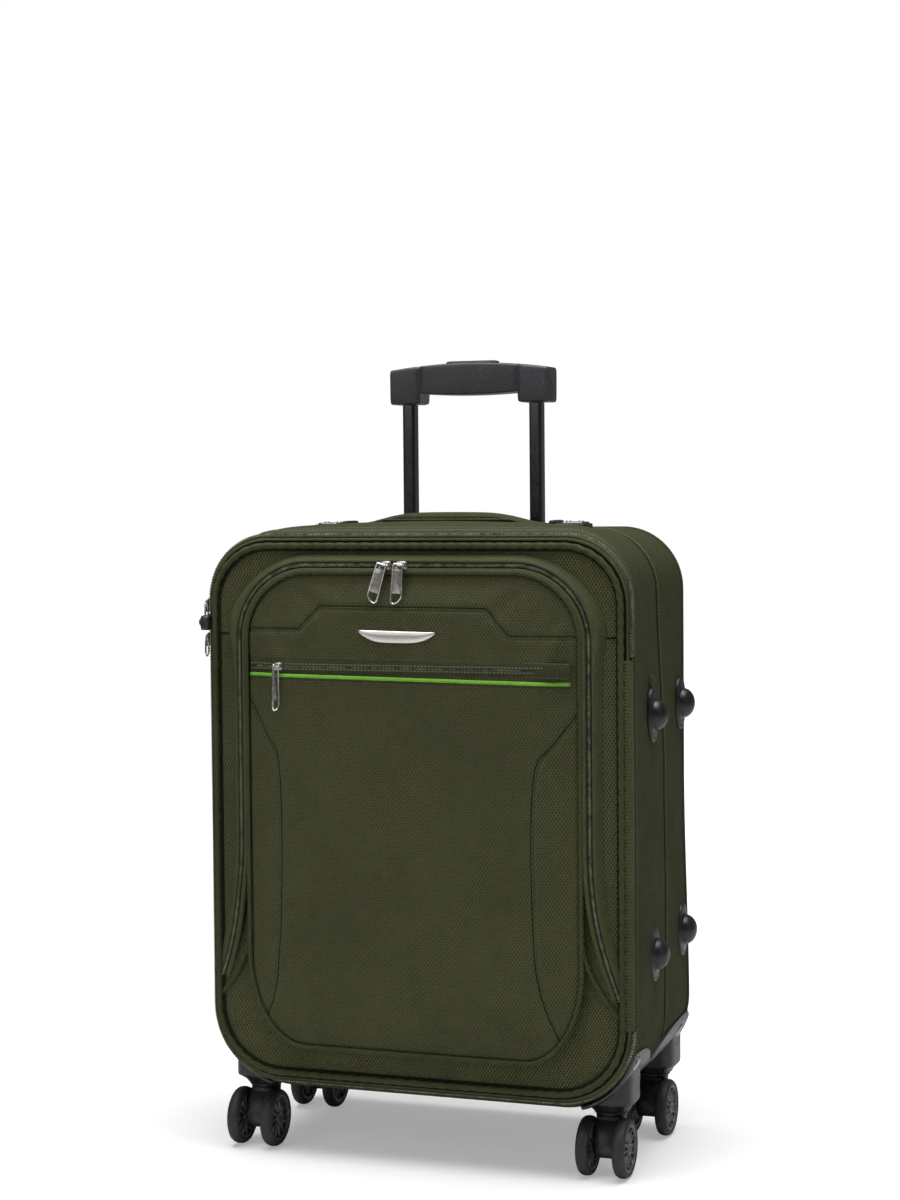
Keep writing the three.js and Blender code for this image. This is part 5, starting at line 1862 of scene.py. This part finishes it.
def rivetShape(y, z):
    # an oval rivet head pressed into the plate
    radius, centreX, centreZ = lowerCorner()
    a = asin((z - centreZ) / radius)
    out = np.array([cos(a), 0, sin(a)])
    up = np.array([-sin(a), 0, cos(a)])
    along = (up * 0.9 + np.array([0, 0.45, 0]))
    along /= np.linalg.norm(along)
    side = np.cross(out, along)
    centre = np.array([centreX, 0, centreZ]) + out * (radius + 3.2) + np.array([0, y, 0])
    skin = Skin()
    rows = []
    k = around(28)
    for grow, lift in ((1.18, -0.6), (1.16, 0.3), (1.0, 0.75), (0.72, 1.15), (0.35, 1.35), (0.02, 1.4)):
        rows.append([centre + along * 5.6 * grow * cos(t) + side * 3.4 * grow * sin(t) + out * lift
                     for t in k])
    skin.rings(rows)
    return skin


def makeCasters():
    tyre, hub, fork = tyreShape(), hubShape(), forkShape()
    for end in ("front", "rear"):
        rear = end == "rear"
        for side, sign in (("left", -1), ("right", 1)):
            forkLow, forkHigh = boxOf(f"caster_fork_{end}_{side}")
            swivelX = (forkLow[0] + forkHigh[0]) / 2
            wheelLow, wheelHigh = boxOf(f"wheel_{end}_{side}_outer")
            axleY = (wheelLow[1] + wheelHigh[1]) / 2
            addOriented(f"fork_moulding_{end}_{side}", fork, "black", f"fork_{end}_{side}",
                        "black_plastic", [f"caster_fork_{end}_{side}"],
                        (swivelX, axleY + caster["trail"], 0), sign)
            for face in ("outer", "inner"):
                low, high = boxOf(f"wheel_{end}_{side}_{face}")
                at = ((low[0] + high[0]) / 2, axleY, caster["radius"])
                body = f"wheel_{end}_{side}_{face}"
                addOriented(f"tyre_{end}_{side}_{face}", tyre, "rubber", body, "tyre_rubber",
                            [f"wheel_{end}_{side}_{face}"], at)
                addOriented(f"hub_{end}_{side}_{face}", hub, "hub", body, "tyre_rubber", (), at)
            y = axleY + caster["trail"]
            node = f"caster_housing_{end}_{side}"
            addOriented(f"housing_column_{end}_{side}", housingShape(abs(swivelX)), "black", "case",
                        "black_plastic", [node], (0, y, 0), sign)
            addOriented(f"corner_plate_{end}_{side}", cornerPlateShape(rear, y), "plate", "case",
                        "black_plastic", (), (0, y, 0), sign)
            rivet = rivetShape(*((87.0, 93.4) if rear else (-65.0, 98.5)))
            addOriented(f"corner_rivet_{end}_{side}", rivet, "silver", "case", "silver_metal", (),
                        (0, 0, 0), sign)


makeCasters()
print("casters and feet made")


def makeLining():
    wall = case["wall"]
    path = casePath()
    ring = Skin()
    stations = np.linspace(gussetLow[1] + 6, 94, 22)
    profile = [(-wall - 0.05, gussetLow[1] + 3), (-wall - 0.6, gussetLow[1] + 4)]
    profile += [(-wall - 1.4, y) for y in stations] + [(-wall - 0.8, 96)]
    profile += [(-wall - 0.6, y) for y in stations[::-1]]
    ring.hoop(path, profile, sideGive)
    openForHandle(ring.build("case_lining", "lining", "case"))

    # the wire is sewn into a sleeve round the front opening
    low, high = boxOf("frame_wire")
    sleeve = Skin()
    ringLine = casePath(wall + 2.4, 4.0)
    addTube(sleeve, place3(ringLine, (low[1] + high[1]) / 2, "y"), 3.0, 12, closed=True)
    sleeve.build("wire_sleeve", "lining", "case", replaces=["frame_wire"])

    # the back lining hangs over the handle tubes and the cup
    cupLow = boxOf("trolley_bezel")[0]
    tubeLow, tubeHigh = boxOf("trolley_tube_right")
    tubeX = (tubeLow[0] + tubeHigh[0]) / 2
    board = boxOf("back_board")[0][1] - 1.0
    xs = np.linspace(-182, 182, 120)
    zs = np.linspace(case["bottom"] + 7, case["top"] - 6, 150)
    x, z = np.meshgrid(xs, zs)
    overTube = np.exp(-(np.clip(np.abs(np.abs(x) - tubeX) - 10.5, 0, None) / 11.0) ** 2)
    overCup = (1 - smooth(84, 104, np.abs(x))) * smooth(cupLow[2] - 34, cupLow[2] - 6, z)
    between = 0.45 * (1 - smooth(40, 75, np.abs(x)))
    raised = np.maximum(np.maximum(overTube, overCup), between)
    lowest = np.where(overCup > 0.5, cupLow[1] - 3, tubeLow[1] - 3)
    y = board + (lowest - board) * raised
    y += 0.6 * np.sin(x / 14 + z / 37) * np.sin(z / 23)
    # the rounded corners of the case bring the edge in
    middle = (zs[0] + zs[-1]) / 2
    corner = np.where(z > middle, case["topRadius"], case["bottomRadius"]) - 6
    dx, dz = np.abs(x) - (xs[-1] - corner), np.abs(z - middle) - (zs[-1] - middle - corner)
    beyond = np.hypot(np.clip(dx, 0, None), np.clip(dz, 0, None)) - corner
    away = np.maximum(np.hypot(dx, dz), 1)
    x = np.where(beyond > 0, x - np.sign(x) * beyond * np.clip(dx, 0, None) / away, x)
    z = np.where(beyond > 0, z - np.sign(z - middle) * beyond * np.clip(dz, 0, None) / away, z)
    front = np.stack([x, y, z], 2)
    back = front + np.array([0, 0.8, 0])
    sheet = Skin()
    sheet.slab(front, back, flat=True)
    sheet.build("back_lining", "lining", "case")

    # two packing straps that meet in a clip
    for side, sign in (("left", -1), ("right", 1)):
        strap = Skin()
        rows = []
        for t in np.linspace(0, 1, 30):
            px = sign * (174 - 156 * t)
            pz = 330 - 6 * sin(pi * t)
            py = 42 - 9 * sin(pi * t * 0.5)
            rows.append([(px, py - 0.7, pz - 12.5), (px, py - 0.7, pz + 12.5), (px, py + 0.7, pz + 12.5),
                         (px, py + 0.7, pz - 12.5)])
        strap.bar(rows)
        strap.build(f"packing_strap_{side}", "webbing", "case", "lining_fabric")
    clip = Skin()
    outline = curveCorners([(-24, 314), (24, 314), (20, 330), (24, 346), (-24, 346), (-20, 330)], 5)
    addPlate(clip, outline, 36, 29, "y", edge=1.6, dome=0.8)
    clip.build("packing_strap_clip", "black", "case")


def makeLidInside():
    low, high = boxOf("lid_lining")
    lining = Skin()
    rows = [place3(resampleTo(lidPath(inset), 240), y, "y")
            for inset, y in ((5.0, low[1] + 0.2), (7.0, high[1] - 0.2), (30.0, high[1]), (60.0, high[1]))]
    lining.rings(rows, flat=True)
    lining.cap(rows[-1])
    lining.cap(rows[0])
    piece = lining.build("lid_lining_cloth", "lining", "lid", replaces=["lid_lining"])
    # a net pocket held by a bound edge, with a zip along its top
    y = high[1] + 0.9
    xs, zs = np.linspace(-160, 160, 60), np.linspace(104, 430, 60)
    x, z = np.meshgrid(xs, zs)
    belly = np.clip(np.cos(x / 160 * pi / 2), 0, 1) * np.clip(np.sin((z - 104) / 326 * pi), 0, 1)
    front = np.stack([x, y + 3.2 * belly, z], 2)
    net = Skin()
    net.grid(front, flat=True)
    netPiece = net.build("lid_net_pocket", "net", "lid")
    netPiece.modifiers.new("thick", "SOLIDIFY").thickness = 0.0004
    edge = Skin()
    addTube(edge, place3(roundedPath(-161, 161, 103, 431, 12, 12, 5), y, "y"), 2.2, 8, closed=True)
    edge.build("lid_net_binding", "webbing", "lid", "lining_fabric")
    teeth = Skin()
    for k, px in enumerate(np.arange(-150, 150, 2.2)):
        addBlock(teeth, (px, y + 2.4, 431 + 0.6 * (1 if k % 2 else -1)), (1.2, 1.6, 1.0),
                 ((1, 0, 0), (0, 0, 1), (0, 1, 0)), taper=0.7)
    teeth.build("lid_net_zip", "teeth", "lid", "lining_fabric", flatShade=True)
    return piece, netPiece


makeLining()
lidLiningPiece, netPiece = makeLidInside()
print("inside made")


staying = dict(trolley_tube_left="tube", trolley_tube_right="tube", middle_tube_left="tube",
               middle_tube_right="tube", inner_tube_left="tube", inner_tube_right="tube",
               trolley_bezel="black", trolley_foot="black", base_tray="black", back_board="board")
for node, finishName in staying.items():
    part = frame["nodes"][node]
    part.data.materials.clear()
    part.data.materials.append(mats[finishName])
    rim = part.modifiers.new("edges", "BEVEL")
    rim.width = 0.0005
    rim.segments = 2
    rim.limit_method = "ANGLE"
    rim.angle_limit = radians(40)


def makeStage():
    floor = bpy.data.objects.new("floor", bpy.data.meshes.new("floor"))
    size = 14.0
    floor.data.from_pydata([(-size, -size, 0), (size, -size, 0), (size, size, 0), (-size, size, 0)], [],
                           [(0, 1, 2, 3)])
    scene.collection.objects.link(floor)
    material = bpy.data.materials.new("pale floor")
    material.use_nodes = True
    shader = material.node_tree.nodes["Principled BSDF"]
    tree = material.node_tree
    where = tree.nodes.new("ShaderNodeTexCoord").outputs["Object"]
    cloudy = noise(tree, where, 0.8, 2.0)
    wire(tree, mixColour(tree, cloudy, (0.8, 0.8, 0.795, 1), (0.84, 0.84, 0.835, 1)),
         shader.inputs["Base Color"])
    shader.inputs["Roughness"].default_value = 0.6
    # the paper glows a little, and more the further it lies from the case
    away = tree.nodes.new("ShaderNodeVectorMath")
    away.operation = "LENGTH"
    tree.links.new(where, away.inputs[0])
    glow = ramp(tree, away.outputs["Value"], 0.35, 2.2, 0.32, 1.0)
    seen = tree.nodes.new("ShaderNodeLightPath").outputs["Is Camera Ray"]
    wire(tree, mixColour(tree, times(tree, glow, seen), (0, 0, 0, 1), (1, 1, 1, 1)),
         shader.inputs["Emission Color"])
    shader.inputs["Emission Strength"].default_value = 1.0
    floor.data.materials.append(material)

    world = bpy.data.worlds.new("studio")
    scene.world = world
    world.use_nodes = True
    tree = world.node_tree
    shade = tree.nodes["Background"]
    seen = tree.nodes.new("ShaderNodeLightPath").outputs["Is Camera Ray"]
    wire(tree, mixColour(tree, seen, (0.14, 0.14, 0.14, 1), (1, 1, 1, 1)), shade.inputs["Color"])

    def softbox(name, place, target, width, height, power):
        lamp = bpy.data.lights.new(name, "AREA")
        lamp.shape = "RECTANGLE"
        lamp.size = width
        lamp.size_y = height
        lamp.energy = power
        light = bpy.data.objects.new(name, lamp)
        scene.collection.objects.link(light)
        light.location = place
        light.rotation_euler = (Vector(target) - Vector(place)).to_track_quat("-Z", "Y").to_euler()

    softbox("overhead softbox", (0.1, -0.2, 2.5), (0, 0, 0.3), 2.4, 1.8, 84)
    softbox("front softbox", (-1.2, -2.5, 1.5), (0, 0, 0.3), 1.4, 1.6, 9)
    softbox("side softbox", (2.6, -0.8, 1.3), (0, 0, 0.35), 0.9, 1.6, 2)


def makeCamera():
    # the view: turned to the case's right-hand side and a little down
    look = dict(place=(0.7050, -1.9595, 0.5792), turn=19.782, down=2.651, roll=-0.489, lens=70.69)
    camera = bpy.data.objects.new("camera", bpy.data.cameras.new("camera"))
    scene.collection.objects.link(camera)
    camera.location = look["place"]
    yaw, pitch, roll = (radians(look[k]) for k in ("turn", "down", "roll"))
    ahead = Vector((-sin(yaw) * cos(pitch), cos(yaw) * cos(pitch), -sin(pitch)))
    side = Vector((cos(yaw), sin(yaw), 0))
    over = side.cross(ahead)
    right = side * cos(roll) + over * sin(roll)
    up = over * cos(roll) - side * sin(roll)
    camera.rotation_euler = Matrix((right, up, -ahead)).transposed().to_euler()
    camera.data.lens = look["lens"]
    camera.data.sensor_width = 36
    scene.camera = camera


makeStage()
makeCamera()
print("stage ready")
